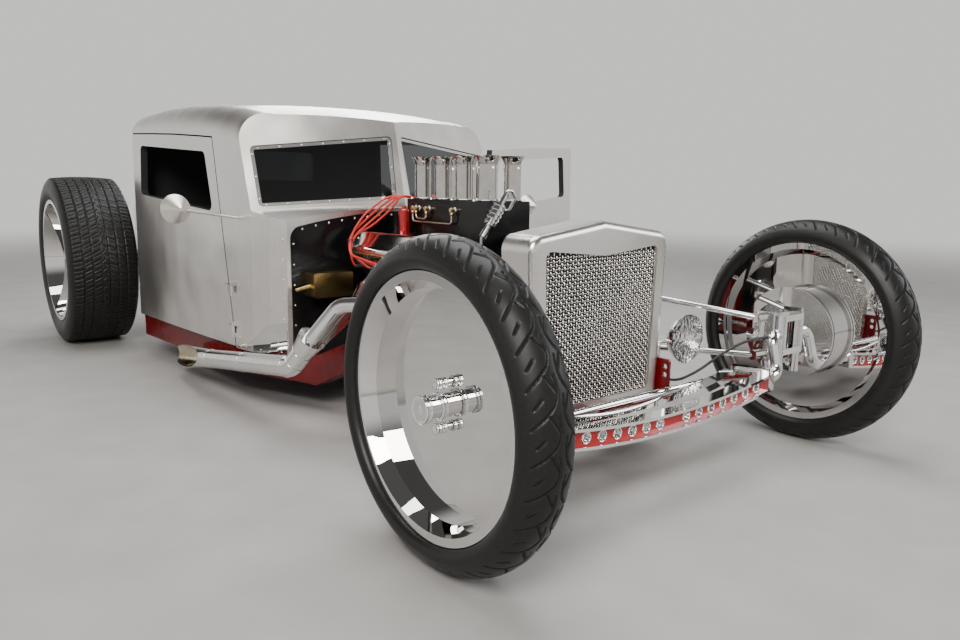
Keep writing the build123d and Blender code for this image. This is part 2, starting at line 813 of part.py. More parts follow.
def under_cowl(inset):
    """Space under the cowl, which rises and flattens from the firewall to the screen."""
    front = crowned(CAB_STATIONS[0][0] - 1, COWL_Z - inset, COWL_CROWN_R)
    back = crowned(COWL_BACK_Y, COWL_BACK_Z - inset, COWL_BACK_CROWN_R)
    return loft([front, back], ruled=True)


def screen_plane():
    """Plane of the left half of the V windscreen, outward normal, foot at the centre."""
    sweep_angle = radians(SCREEN_SWEEP)
    level = Vector(cos(sweep_angle), sin(sweep_angle), 0)
    rise = Vector(0, sin(radians(SCREEN_RAKE)), cos(radians(SCREEN_RAKE)))
    return Plane(origin=(0, SCREEN_FOOT_Y, COWL_Z), x_dir=level, z_dir=level.cross(rise))


def screen_opening(shrink=0.0):
    """Outline of the left pane in its own plane, first along the sill."""
    outline = fillet(polygon(*PANE_OUTLINE).vertices(), PANE_CORNER_R)
    return offset(outline, -shrink) if shrink else outline


def window_bands():
    """Flat frames that clamp the panes, one in front of each."""
    plane = screen_plane().offset(PANE_T - CAB_WALL / 2)
    band = plane * (screen_opening(SEAT_GAP) - screen_opening(FRAME_BAND))
    return both_sides(extrude(band, FRAME_BAND_T))


def side_window():
    outline = polygon((168, 722), (925, 776), (905, 998), (226, 957))
    return fillet(outline.vertices(), 26)


def rear_window(shrink=0.0):
    outline = RectangleRounded(560 - 2 * shrink, 150 - 2 * shrink, 40)
    return Pos(0, 925) * outline


def door_seam(z):
    """Y of the door's leaning front edge at a height."""
    return DOOR_FRONT_Y + DOOR_LEAN * (z - RAIL_TOP_Z)


def door_outline(gap):
    """Side view of a door that ends at the drip line, grown by gap."""
    foot = RAIL_TOP_Z + DOOR_GAP - gap
    rear = DOOR_REAR_Y + gap
    high = CAB_STATIONS[-1][2]
    front_foot = (door_seam(foot) - gap, foot)
    front_top = (door_seam(high) - gap, high)
    sides = polygon((rear, foot), front_foot, front_top, (rear, high))
    drips = [(y, drip - DOOR_TOP_DROP + gap) for y, _, drip, _ in CAB_STATIONS]
    past_rear = rear + CAB_WALL
    return sides & polygon((past_rear, 0), (drips[0][0], 0), *drips, (past_rear, drips[-1][1]))


def skin_x(y, z):
    """Outside of the body's left side, which leans in a little above the rails."""
    return cab_half_width(y) - CAB_LEAN * (z - RAIL_TOP_Z) / (CAB_STATIONS[5][2] - RAIL_TOP_Z)


def hinge_barrel(foot, length):
    return rod((HINGE_X, HINGE_Y, foot), (HINGE_X, HINGE_Y, foot + length), HINGE_R)


def cab_leaf(foot, length):
    """Leaf on the body ahead of a barrel."""
    skin = skin_x(HINGE_Y, foot)
    front_y = HINGE_Y - LEAF_LENGTH
    leaf = polygon(
        (skin_x(front_y, foot) - 3, front_y),
        (skin - 3, HINGE_Y),
        (HINGE_X, HINGE_Y),
        (skin_x(front_y, foot) + LEAF_T, front_y),
    )
    return upright(leaf, foot, foot + length)


def door_leaf(foot, length):
    """Leaf that passes over the seam from a barrel and lies on the door."""
    top = foot + length
    seam_y = door_seam(top)
    end_y = seam_y + LEAF_LENGTH
    over = LEAF_GAP + LEAF_T
    leaf = polygon(
        (skin_x(HINGE_Y, foot) + LEAF_GAP, HINGE_Y),
        (skin_x(seam_y, foot) + LEAF_GAP, seam_y - DOOR_GAP / 2),
        (skin_x(seam_y, top) - 4, seam_y),
        (skin_x(end_y, top) - 4, end_y),
        (skin_x(end_y, foot) + over, end_y),
        (skin_x(seam_y, foot) + over, seam_y),
        (HINGE_X, HINGE_Y),
    )
    return upright(leaf, foot, top)


def left_hinge_pins(body):
    """Pins with the two outer barrels and leaves that stay on the cab."""
    pins = []
    for foot in HINGE_HEIGHTS:
        upper = foot + KNUCKLE_LENGTH + DOOR_KNUCKLE_LENGTH + 2 * SEAT_GAP
        top = upper + KNUCKLE_LENGTH
        pin = rod((HINGE_X, HINGE_Y, foot), (HINGE_X, HINGE_Y, top), HINGE_PIN_R)
        for barrel_foot in (foot, upper):
            pin += hinge_barrel(barrel_foot, KNUCKLE_LENGTH)
            pin += cab_leaf(barrel_foot, KNUCKLE_LENGTH)
        pins.append(pin - body)
    return pins


def left_door(wall):
    """Closed left door, cut from the cab's own wall, with its hinge barrels."""
    door = wall & along(door_outline(0), 400, 1000)
    door -= along(side_window(), 400, 1000)
    for foot in HINGE_HEIGHTS:
        barrel_foot = foot + KNUCKLE_LENGTH + SEAT_GAP
        door += hinge_barrel(barrel_foot, DOOR_KNUCKLE_LENGTH)
        door += door_leaf(barrel_foot, DOOR_KNUCKLE_LENGTH)
        top = barrel_foot + DOOR_KNUCKLE_LENGTH + 1
        bore = rod(
            (HINGE_X, HINGE_Y, barrel_foot - 1), (HINGE_X, HINGE_Y, top), HINGE_PIN_R + RUN_FIT
        )
        door -= bore
    return door


def swung(door, angle):
    """Turn a left door outward about its hinge."""
    return Pos(HINGE_X, HINGE_Y, 0) * Rot(0, 0, -angle) * Pos(-HINGE_X, -HINGE_Y, 0) * door


def cab_shell(wall):
    pane_hole = screen_plane().offset(-2 * CAB_WALL) * screen_opening()
    left_hole, right_hole = both_sides(extrude(pane_hole, 3 * CAB_WALL))
    shell = wall - wedge(FIREWALL_Y, PROW_ANGLE, 0, 1400) - left_hole - right_hole
    shell -= across(rear_window(), 1000, 1200)
    shell -= block(-TUNNEL_HALF, TUNNEL_HALF, 1000, 1200, 0, TUNNEL_TOP_Z)
    for cut in both_sides(along(door_outline(DOOR_GAP), 400, 1000)):
        shell -= cut
    return shell


def windscreen():
    plane = screen_plane().offset(-CAB_WALL / 2)
    pane = extrude(plane * screen_opening(SEAT_GAP), PANE_T)
    return both_sides(pane)


def firewall():
    """Black V-plan panel over the cab's front edge, its top as crowned as the cowl."""
    corner_y = FIREWALL_Y + CAB_STATIONS[1][1] * tan(radians(PROW_ANGLE))
    half = cab_half_width(corner_y) - CAB_LEAN - FIREWALL_EDGE
    top = COWL_Z - FIREWALL_EDGE
    side_top = top - half**2 / (2 * COWL_CROWN_R)
    crown = ThreePointArc((half, side_top), (0, top), (-half, side_top))
    corners = ((-half, side_top), (-half, FLOOR_TOP_Z), (half, FLOOR_TOP_Z), (half, side_top))
    outline = make_face(crown + Polyline(*corners))
    outline = fillet(outline.vertices().group_by(Axis.Y)[-1], FIREWALL_CORNER_R)
    panel = across(outline, FIREWALL_Y - 50, corner_y + 50)
    panel &= wedge(FIREWALL_Y, PROW_ANGLE, 0, 1400)
    panel -= wedge(FIREWALL_Y - FIREWALL_T, PROW_ANGLE, 0, 1400)
    return panel - block(-TUNNEL_HALF, TUNNEL_HALF, -400, 0, 0, TUNNEL_TOP_Z)


def firewall_box():
    """Brass box with a pipe on the right half of the firewall."""
    x_from, x_to, z_from, z_to = BRASS_BOX
    box = block(x_from, x_to, FIREWALL_Y - BRASS_BOX_OUT, FIREWALL_Y + 60, z_from, z_to)
    box = fillet(box.edges().filter_by(Axis.Y), 8)
    pipe_z = (z_from + z_to) / 2
    box += rod((x_from + 13, FIREWALL_Y - 2, pipe_z), (x_from - 51, FIREWALL_Y + 14, pipe_z - 17), 7)
    return box & wedge(FIREWALL_Y - FIREWALL_T, PROW_ANGLE, 0, 1400)


def floor_pan():
    """Flat floor on the rails with a tunnel over the gearbox and the shaft."""
    front_y = FIREWALL_Y
    side_gap = CAB_WALL + DOOR_GAP + 6
    back_y = CAB_BACK[0] - CAB_WALL - SEAT_GAP
    right_edge = [(w - side_gap, y) for y, w, _, _ in CAB_STATIONS]
    right_edge.append((CAB_BACK[1] - side_gap, back_y))
    left_edge = [(-x, y) for x, y in reversed(right_edge)]
    pan = upright(polygon(*right_edge, *left_edge), RAIL_TOP_Z, FLOOR_TOP_Z)
    pan -= wedge(front_y, PROW_ANGLE, 0, 1400)
    top = TUNNEL_TOP_Z - SEAT_GAP
    half = TUNNEL_HALF - SEAT_GAP
    hump = block(-half, half, front_y + 30, back_y, RAIL_TOP_Z, top)
    hollow = block(
        -half + FLOOR_T, half - FLOOR_T, front_y - 100, back_y + 100, 0, top - FLOOR_T
    )
    return pan + hump - hollow


def seats():
    """A bucket on each side of the tunnel: cushion and leaning back."""
    profile = polygon(
        (SEAT_FRONT_Y, FLOOR_TOP_Z),
        (SEAT_FRONT_Y, FLOOR_TOP_Z + SEAT_CUSHION),
        (SEAT_FRONT_Y + 380, FLOOR_TOP_Z + SEAT_CUSHION - 25),
        (SEAT_FRONT_Y + 455, FLOOR_TOP_Z + SEAT_HEIGHT),
        (SEAT_FRONT_Y + 540, FLOOR_TOP_Z + SEAT_HEIGHT),
        (SEAT_FRONT_Y + 480, FLOOR_TOP_Z),
    )
    profile = fillet(profile.vertices(), 22)
    inner_x = TUNNEL_HALF + 12
    return both_sides(along(profile, inner_x, inner_x + SEAT_WIDTH))


def dash(inside):
    panel = block(-700, 700, DASH_Y, DASH_Y + 36, DASH_FOOT_Z, DASH_TOP_Z) & inside
    column_z = column_point(DASH_Y + 18)[2]
    hanger = block(
        COLUMN_X - 14, COLUMN_X + 14, DASH_Y + 2, DASH_Y + 34, column_z, DASH_FOOT_Z + 4
    )
    return panel + hanger - column()


def column_point(y):
    """Point of the steering column's axis at a given Y."""
    rise = (COLUMN_TOP[2] - COLUMN_FOOT[2]) / (COLUMN_TOP[1] - COLUMN_FOOT[1])
    return (COLUMN_X, y, COLUMN_FOOT[2] + rise * (y - COLUMN_FOOT[1]))


def column():
    tube = rod(COLUMN_FOOT, COLUMN_TOP, COLUMN_R)
    tube += rod(COLUMN_TOP, column_end(COLUMN_STUB), COLUMN_STUB_R)
    return tube - wedge(FIREWALL_Y, PROW_ANGLE, 0, 1400)


def column_end(length):
    """Point on the column's axis, a given length past its top."""
    run = (Vector(*COLUMN_TOP) - Vector(*COLUMN_FOOT)).normalized()
    return tuple(Vector(*COLUMN_TOP) + run * length)


def steering_wheel():
    """Rim, three spokes and a hub with a blind bore for the column's stub."""
    run = Vector(*COLUMN_TOP) - Vector(*COLUMN_FOOT)
    base = Plane(origin=column_end(SEAT_GAP), x_dir=(1, 0, 0), z_dir=run)
    hub = extrude(base * Circle(STEER_HUB_R), STEER_HUB_T)
    hub -= extrude(base * Circle(COLUMN_STUB_R + RUN_FIT), COLUMN_STUB + 1)
    disc = base.offset(STEER_HUB_T / 2)
    wheel = hub + disc * Torus(STEER_WHEEL_R, STEER_GRIP_R)
    for angle in (90, 210, 330):
        spoke = Rot(0, 0, angle) * Pos((STEER_HUB_R + STEER_WHEEL_R) / 2 - 4, 0, 0) * Box(
            STEER_WHEEL_R - STEER_HUB_R, 26, 5
        )
        wheel += disc * spoke
    return wheel


def tail():
    """Deck between the rear wheels, open on the face that meets the cab."""
    return tail_form(0) - tail_form(TAIL_WALL)


def tail_form(inset):
    back_y = CAB_BACK[0]
    front_y = back_y if inset == 0 else back_y - 5
    end_y = TAIL_END_Y - inset
    top = TAIL_TOP_Z - inset
    foot = TAIL_FLOOR_Z + inset
    end_top = TAIL_FLOOR_Z + 60
    profile = Line((front_y, foot), (front_y, top)) + Line((front_y, top), (back_y + 60, top))
    profile += ThreePointArc((back_y + 60, top), (back_y + 500, top - 62), (end_y, end_top))
    profile += Line((end_y, end_top), (end_y - 20, foot)) + Line((end_y - 20, foot), (front_y, foot))
    past_end = end_y + 25
    plan = polygon(
        (-TAIL_HALF_FRONT + inset, front_y),
        (TAIL_HALF_FRONT - inset, front_y),
        (TAIL_HALF_REAR - inset, past_end),
        (-TAIL_HALF_REAR + inset, past_end),
    )
    corners = plan.vertices().sort_by(Axis.Y)[-2:]
    plan = fillet(corners, TAIL_CORNER_R - inset)
    return along(make_face(profile), -700, 700) & upright(plan, 0, 1000)


def tail_lamps():
    y = TAIL_END_Y
    z = TAIL_FLOOR_Z + 34
    x = TAIL_HALF_REAR - TAIL_CORNER_R - 30
    lamp = rod((x, y - 40, z), (x, y + 16, z), 24) - tail_form(0)
    return both_sides(lamp)


def mirrors(shell):
    arm_start = (MIRROR_ROOT[0] - 30, MIRROR_ROOT[1], MIRROR_ROOT[2] - 4)
    arm = rod(arm_start, MIRROR_HEAD, MIRROR_ARM_R)
    head = Pos(*MIRROR_HEAD) * Rot(90, 0, 0) * Cone(MIRROR_R, 6, MIRROR_DEPTH)
    return both_sides(arm + head - shell)


# Radiator, grille and lamps

def radiator_outline(inset):
    foot = RADIATOR_FOOT_Z + inset
    foot_half = RADIATOR_HALF_FOOT - inset
    top_half = RADIATOR_HALF_TOP - inset
    shoulder = RADIATOR_SHOULDER_Z - inset
    outline = polygon(
        (-foot_half, foot),
        (foot_half, foot),
        (top_half, shoulder),
        (0, RADIATOR_PEAK_Z - inset),
        (-top_half, shoulder),
    )
    corners = [v for v in outline.vertices() if abs(v.X) > foot_half + 1]
    return fillet(corners, SHOULDER_R - inset)


def grille_outline(grow):
    outline = polygon(
        (-GRILLE_HALF_FOOT - grow, GRILLE_FOOT_Z - grow),
        (GRILLE_HALF_FOOT + grow, GRILLE_FOOT_Z - grow),
        (GRILLE_HALF_TOP + grow, GRILLE_TOP_Z + grow),
        (0, GRILLE_DIP_Z + grow),
        (-GRILLE_HALF_TOP - grow, GRILLE_TOP_Z + grow),
    )
    corners = [v for v in outline.vertices() if abs(v.X) > 1]
    return fillet(corners, GRILLE_CORNER_R)


def radiator_shell():
    back_y = RADIATOR_Y + RADIATOR_DEPTH
    outer = across(radiator_outline(0), RADIATOR_Y, back_y)
    rim = outer.faces().sort_by(Axis.Y)[0].outer_wire().edges()
    outer = fillet([e for e in rim if e.center().Z > RADIATOR_FOOT_Z + 5], SHELL_EDGE_R)
    hollow = across(radiator_outline(SHELL_WALL), RADIATOR_Y + SHELL_WALL, back_y + 1)
    opening = across(grille_outline(0), RADIATOR_Y - 1, back_y)
    return outer - hollow - opening


def radiator_core():
    back_y = RADIATOR_Y + RADIATOR_DEPTH
    front_y = RADIATOR_Y + SHELL_WALL + 2 * GRILLE_WIRE + 3 * SEAT_GAP
    core = across(radiator_outline(SHELL_WALL + SEAT_GAP), front_y, back_y - 25)
    neck = rod((0, back_y - 30, HOSE_Z), (0, back_y + 5, HOSE_Z), HOSE_R - 4)
    return core + neck


def grille():
    """Two layers of bars, upright ones in front, behind the shell's opening."""
    margin = 6
    upright_y = RADIATOR_Y + SHELL_WALL + SEAT_GAP
    level_y = upright_y + GRILLE_WIRE + SEAT_GAP
    bars = []
    half_count = int((GRILLE_HALF_TOP + margin) // GRILLE_PITCH)
    screen = grille_outline(margin) & radiator_outline(SHELL_WALL + SEAT_GAP)
    uprights = across(screen, upright_y, upright_y + GRILLE_WIRE)
    for n in range(-half_count, half_count + 1):
        x = n * GRILLE_PITCH
        bar = block(x - GRILLE_WIRE / 2, x + GRILLE_WIRE / 2, upright_y - 1, upright_y + 9, 0, 900)
        bars.append(uprights & bar)
    levels = across(screen, level_y, level_y + GRILLE_WIRE)
    count = int((GRILLE_DIP_Z - GRILLE_FOOT_Z) // GRILLE_PITCH)
    for n in range(count + 1):
        z = GRILLE_FOOT_Z + n * GRILLE_PITCH
        bar = block(-400, 400, level_y - 1, level_y + 9, z - GRILLE_WIRE / 2, z + GRILLE_WIRE / 2)
        bars.append(levels & bar)
    return bars


def lamp_bowl(radius, depth):
    """Solid bowl that opens forward, its mouth at the origin."""
    mid = (0.74 * radius, 0.5 * depth)
    boss = 0.2 * radius
    outline = Line((0, 0), (radius, 0)) + ThreePointArc((radius, 0), mid, (boss, depth))
    outline += Line((boss, depth), (0, depth)) + Line((0, depth), (0, 0))
    return revolve(make_face(outline), Axis.Y)


def headlight(shell):
    place = Pos(LAMP_X, LAMP_Y, LAMP_Z)
    stalk_y = LAMP_Y + LAMP_DEPTH / 2 + 6
    post_x = HORN_X + HORN_T / 2 + 2
    arm_z = LAMP_Z - 8
    path = [(LAMP_X - 20, stalk_y, arm_z), (post_x, stalk_y, arm_z), (post_x, stalk_y, HORN_TOP_Z)]
    stalk = bent_tube(path, (14,), LAMP_STALK_R)
    outside = place * lamp_bowl(LAMP_R, LAMP_DEPTH)
    inside = place * Pos(0, -0.1, 0) * lamp_bowl(LAMP_R - 4, LAMP_DEPTH - 5)
    return outside + stalk - inside - shell


def headlight_lens():
    """Domed lens seated on the mouth of the bowl."""
    dome = LENS_DEPTH - LENS_EDGE
    ball_r = (LAMP_R**2 + dome**2) / (2 * dome)
    mid_x = LAMP_R / 2
    mid_y = -LENS_DEPTH + ball_r - (ball_r**2 - mid_x**2) ** 0.5
    outline = Line((0, 0), (LAMP_R, 0)) + Line((LAMP_R, 0), (LAMP_R, -LENS_EDGE))
    outline += ThreePointArc((LAMP_R, -LENS_EDGE), (mid_x, mid_y), (0, -LENS_DEPTH))
    outline += Line((0, -LENS_DEPTH), (0, 0))
    return Pos(LAMP_X, LAMP_Y - SEAT_GAP, LAMP_Z) * revolve(make_face(outline), Axis.Y)


# Engine

def bank_point(along_bank, outward):
    """Front view point in the left bank, from the crank along and across it."""
    angle = radians(BANK_ANGLE)
    x = along_bank * sin(angle) + outward * cos(angle)
    z = CRANK_Z + along_bank * cos(angle) - outward * sin(angle)
    return (x, z)


def bank_slab(start, end, half):
    return polygon(
        bank_point(start, -half), bank_point(end, -half), bank_point(end, half), bank_point(start, half)
    )


def engine_block():
    case = polygon((-105, 182), (105, 182), (150, 240), (165, 400), (-165, 400), (-150, 240))
    left = bank_slab(20, DECK_LENGTH, BANK_HALF)
    front = case + left + mirrored(left)
    valley = bank_point(VALLEY_LENGTH, -BANK_HALF)
    front += polygon((0, CRANK_Z), valley, (-valley[0], valley[1]))
    return across(front, ENGINE_FRONT_Y, ENGINE_REAR_Y)


def engine_mounts(rails, engine):
    y = (ENGINE_FRONT_Y + ENGINE_REAR_Y) / 2 - 60
    pad = rod((120, y, 285), (340, y, 285), 22)
    return [pad_side - rails - engine for pad_side in both_sides(pad)]


def cylinder_heads():
    head = bank_slab(DECK_LENGTH, DECK_LENGTH + HEAD_LENGTH, BANK_HALF)
    return both_sides(across(head, ENGINE_FRONT_Y + 12, ENGINE_REAR_Y - 12))


def valve_covers():
    start = DECK_LENGTH + HEAD_LENGTH
    cover = bank_slab(start, start + COVER_LENGTH, BANK_HALF - 12)
    far = sorted(cover.vertices(), key=lambda v: v.X + v.Y)[-2:]
    cover = fillet(far, 24)
    return both_sides(across(cover, ENGINE_FRONT_Y + 20, ENGINE_REAR_Y - 20))


def injector_manifold():
    """Black body that fills the valley and carries the stacks."""
    inner = -BANK_HALF - SEAT_GAP
    foot_x, foot_z = bank_point(VALLEY_LENGTH, inner)
    wing_x, wing_z = bank_point(VALLEY_LENGTH + 130, inner)
    half = [
        (foot_x, foot_z),
        (wing_x, wing_z),
        (MANIFOLD_HALF, wing_z + 34),
        (MANIFOLD_HALF, STACK_FOOT_Z),
    ]
    outline = polygon(*half, *[(-x, z) for x, z in reversed(half)])
    return across(outline, STACK_FIRST_Y - MANIFOLD_END, STACK_LAST_Y + MANIFOLD_END)


def stack_places():
    return [
        (side * STACK_ROW_X, STACK_FIRST_Y + n * STACK_PITCH)
        for n in range(STACK_ROWS)
        for side in (LEFT, RIGHT)
    ]


def velocity_stacks():
    """Open trumpets: straight tubes that flare at the mouth."""
    height = STACK_TOP_Z - STACK_FOOT_Z
    flare_from = height - 42
    outer = ((STACK_R, flare_from), (STACK_R + 2.2, height - 15), (STACK_MOUTH_R, height))
    inner = [(r - STACK_WALL, z) for r, z in outer]
    section = Line((STACK_R, 0), outer[0]) + ThreePointArc(*outer)
    section += Line(outer[2], inner[2]) + ThreePointArc(*reversed(inner))
    section += Line(inner[0], (STACK_R - STACK_WALL, 0))
    section += Line((STACK_R - STACK_WALL, 0), (STACK_R, 0))
    stack = revolve(Plane.XZ * make_face(section), Axis.Z)
    return [Pos(x, y, STACK_FOOT_Z) * stack for x, y in stack_places()]


def fuel_lines():
    """U-shaped lines that join the nozzles on each side of the manifold."""
    lines = []
    x = MANIFOLD_HALF + 14
    face = MANIFOLD_HALF
    last = STACK_LAST_Y
    spans = ((last - 30, last - STACK_PITCH + 30, 716), (last - 8, last - 2 * STACK_PITCH, 704))
    for y_from, y_to, dip in spans:
        top = NOZZLE_Z
        line = bent_tube(
            [(x, y_from, top), (x, y_from, dip), (x, y_to, dip), (x, y_to, top)],
            (14, 14),
            FUEL_LINE_R,
        )
        for y in (y_from, y_to):
            line += rod((face, y, top), (x + 7, y, top), 7)
        lines.append(line)
    return [side for line in lines for side in both_sides(line)]


def catch_can():
    """Red canister that stands on the manifold's right wing, behind the fuel lines."""
    x = -MANIFOLD_HALF - CAN_R - 10
    y = STACK_LAST_Y + CAN_R
    can = rod((x, y, CAN_TOP_Z - CAN_LENGTH), (x, y, CAN_TOP_Z), CAN_R)
    can = fillet(can.edges().group_by(Axis.Z)[-1], 6)
    return can + rod((x, y, CAN_TOP_Z - 8), (x, y, CAN_TOP_Z + 12), 9)


def distributor():
    x, y = 0, DISTRIBUTOR_Y
    foot = bank_point(VALLEY_LENGTH, -BANK_HALF)[1]
    return rod((x, y, foot), (x, y, CAP_FOOT_Z), DISTRIBUTOR_R)


def distributor_cap():
    cap = rod((0, DISTRIBUTOR_Y, CAP_FOOT_Z), (0, DISTRIBUTOR_Y, CAP_TOP_Z), CAP_R)
    return chamfer(cap.edges().group_by(Axis.Z)[-1], 8)


def plug_wires(cap, heads):
    """Four leads a side: a fan from the cap to a tie, then forward outside the head to the plugs."""
    wires = []
    z = CAP_TOP_Z - 12
    tie_x, tie_y, tie_z = WIRE_TIE
    for n, y_plug in enumerate(PLUG_PLACES):
        inner = len(PLUG_PLACES) - 1 - n
        y_cap = DISTRIBUTOR_Y + (n - 1.5) * 11
        aside = WIRE_SPACE / 2 * (1 if n > 1 else -1)
        back = WIRE_SPACE / 2 * (-1 if n % 2 else 1)
        run_x = tie_x + 4 + n * WIRE_SPACE
        run_y = y_plug - tie_y
        points = [
            (CAP_R - 6, y_cap, z),
            (CAP_R + 52, y_cap + 4, z + 9),
            (165 - 13 * inner, DISTRIBUTOR_Y + 8, 782 - 12 * inner),
            (258 - 14 * inner, tie_y + 12, 722 - 12 * inner),
            (tie_x - 14 + aside - 3 * inner, tie_y + back, tie_z + 36 - 4 * inner),
            (tie_x + aside, tie_y + back, tie_z),
            (run_x, tie_y - 2 + 0.12 * run_y, tie_z - 44),
            (run_x, tie_y - 4 + 0.6 * run_y, tie_z - 64),
            (310, tie_y + 0.93 * run_y, 541),
            (270, y_plug, 540),
        ]
        wires += both_sides(cord(points, WIRE_R) - cap - heads)
    return wires


def cord(points, radius):
    """Tube whose arcs are as large as the runs beside them allow."""
    bends = []
    for before, here, after in zip(points, points[1:], points[2:]):
        run_in = Vector(*here) - Vector(*before)
        run_out = Vector(*after) - Vector(*here)
        half_turn = radians(run_in.get_angle(run_out)) / 2
        bends.append(0.45 * min(run_in.length, run_out.length) / tan(half_turn))
    return bent_tube(points, bends, radius)


def pulleys():
    """Crank and water pump pulleys on the engine's front face."""
    wheels = []
    for z, radius in ((CRANK_Z, 78), (CRANK_Z + 190, 62)):
        snout = rod((0, ENGINE_FRONT_Y, z), (0, ENGINE_FRONT_Y - 30, z), 24)
        wheel = rod((0, ENGINE_FRONT_Y - 30, z), (0, ENGINE_FRONT_Y - 62, z), radius)
        groove = rod((0, ENGINE_FRONT_Y - 38, z), (0, ENGINE_FRONT_Y - 54, z), radius + 5)
        groove -= rod((0, ENGINE_FRONT_Y - 38, z), (0, ENGINE_FRONT_Y - 54, z), radius - 9)
        wheels.append(snout + wheel - groove)
    return wheels


def radiator_hose():
    back_y = RADIATOR_Y + RADIATOR_DEPTH
    start_y = STACK_FIRST_Y - MANIFOLD_END
    points = [
        (0, start_y, HOSE_Z + 12),
        (0, start_y - 110, HOSE_Z + 12),
        (0, back_y + 90, HOSE_Z),
        (0, back_y + 5, HOSE_Z),
    ]
    return bent_tube(points, (150, 150), HOSE_R)


def fuel_filter(manifold):
    """Slanted polished canister between two fittings beside the manifold's front."""
    start = Vector(-196, FILTER_Y, 678)
    end = Vector(-104, FILTER_Y, 806)
    run = end - start
    body = rod(start + run * 0.28, start + run * 0.78, FILTER_R)
    for n in range(5):
        rib_at = 0.32 + n * 0.1
        body += rod(start + run * rib_at, start + run * (rib_at + 0.04), FILTER_R + 3)
    body += rod(start + run * 0.1, end, 9)
    body += rod(start, start + run * 0.16, 12)
    hook = bent_tube(
        [tuple(end), (-84, FILTER_Y, 834), (-62, FILTER_Y, 800), (-62, FILTER_Y + 30, 760),
         (-62, STACK_FIRST_Y - MANIFOLD_END, 752)],
        (15, 15, 15),
        5,
    )
    foot = rod((-196, FILTER_Y, 680), (-196, FILTER_Y + 4, 600), 7)
    return body + hook + foot - manifold


def driveline():
    """Gearbox behind the engine and the shaft to the rear axle."""
    box = rod((0, ENGINE_REAR_Y, CRANK_Z), (0, GEARBOX_END_Y, CRANK_Z), GEARBOX_R)
    shaft = rod((0, GEARBOX_END_Y - 5, CRANK_Z), (0, REAR_AXLE_Y, REAR_TYRE_R), DRIVESHAFT_R)
    return box + shaft - diff_case(SEAT_GAP)


def diff_case(grow):
    y, z = REAR_AXLE_Y, REAR_TYRE_R
    return rod((-DIFF_HALF, y, z), (DIFF_HALF, y, z), DIFF_R + grow)


# Exhaust

def primary(n):
    """One of the left bank's four tubes, from its port out and down to the collector."""
    port_x, port_z = bank_point(DECK_LENGTH + HEAD_LENGTH / 2, BANK_HALF)
    port_y = STACK_FIRST_Y - 25 + n * STACK_PITCH
    end_x, end_y, end_z = COLLECTOR
    points = [
        (port_x, port_y, port_z),
        (port_x + 86 + 22 * (3 - n), port_y, port_z - PRIMARY_FALL),
        (end_x - 76 - 34 * n, end_y - 55 + 25 * n, end_z + 115 - 8 * n),
        (end_x + 4 - 16 * n, end_y - 7 + 6 * n, end_z),
        (end_x + 8 - 2 * n, end_y + 22, end_z - 40),
    ]
    return bent_tube(points, (48, 56, 24), PRIMARY_R)


def exhaust(heads):
    """Left side: four primaries, their collector and a side pipe with a slash-cut tip."""
    corner = Vector(*PIPE_CORNER)
    tip = Vector(TIP_X, TIP_Y, TIP_Z)
    start = Vector(*COLLECTOR)
    pipe = bent_tube([tuple(start), tuple(corner), tuple(tip)], (62,), PIPE_R)
    down = (corner - start).normalized()
    mouth = Plane(origin=tuple(start - down * 8), z_dir=down)
    pipe += loft([mouth * Circle(COLLECTOR_R), mouth.offset(COLLECTOR_LENGTH) * Circle(PIPE_R)])
    for n in range(4):
        pipe += primary(n)
    run = (tip - corner).normalized()
    tip_start = tip - run * TIP_LENGTH
    cone_plane = Plane(origin=tip_start, z_dir=run)
    cone_end = Plane(origin=tip, z_dir=run)
    cone = loft([cone_plane * Circle(PIPE_R), cone_end * Circle(TIP_R)])
    bore_end = cone_end.offset(0.5) * Circle(TIP_R - TIP_WALL)
    bore = loft([cone_plane * Circle(PIPE_R - TIP_WALL), bore_end])
    slash = Plane(origin=tip - run * (TIP_LENGTH / 2), z_dir=(0.985, 0.12, 0.12))
    cutter = extrude(slash * Rectangle(900, 900), 300)
    return pipe + cone - bore - cutter - heads


# Front end pieces on the frame

def front_spring():
    """Leaf across the car on the frame's front perch."""
    y_to = FRONT_AXLE_Y + SPRING_TO
    rise = AXLE_END_Z - AXLE_MID_Z + 6
    mid = RADIATOR_FOOT_Z + SPRING_T / 2
    top = ThreePointArc(
        (-SPRING_END_X, mid + rise + SPRING_T / 2),
        (0, mid + SPRING_T / 2),
        (SPRING_END_X, mid + rise + SPRING_T / 2),
    )
    foot = ThreePointArc(
        (SPRING_END_X, mid + rise - SPRING_T / 2),
        (0, mid - SPRING_T / 2),
        (-SPRING_END_X, mid + rise - SPRING_T / 2),
    )
    face = make_face(top + Line(top @ 1, foot @ 0) + foot + Line(foot @ 1, top @ 0))
    return across(face, y_to - SPRING_WIDTH, y_to)


def front_links():
    """Upper and lower radius rods from the axle's brackets to the frame."""
    links = []
    for z_axle, z_frame in LINK_HEIGHTS:
        start = (LINK_AXLE_X, FRONT_AXLE_Y + LINK_BRACKET_Y, z_axle)
        end = (LINK_FRAME_X, LINK_FRAME_Y, z_frame)
        link = rod(start, end, LINK_R)
        for place in (start, end):
            link += Pos(*place) * Rot(0, 90, 0) * Cylinder(LINK_EYE_R, LINK_EYE_T)
        links.append(link)
    return [side for link in links for side in both_sides(link)]


def link_tower():
    """Plates on the frame that hold the rear ends of the radius rods."""
    x_to = LINK_FRAME_X - LINK_EYE_T / 2
    return block(
        FRONT_RAIL_X - 30, x_to, LINK_FRAME_Y - 32, LINK_FRAME_Y + 32,
        LINK_HEIGHTS[1][1] - 25, LINK_HEIGHTS[0][1] + 25,
    )


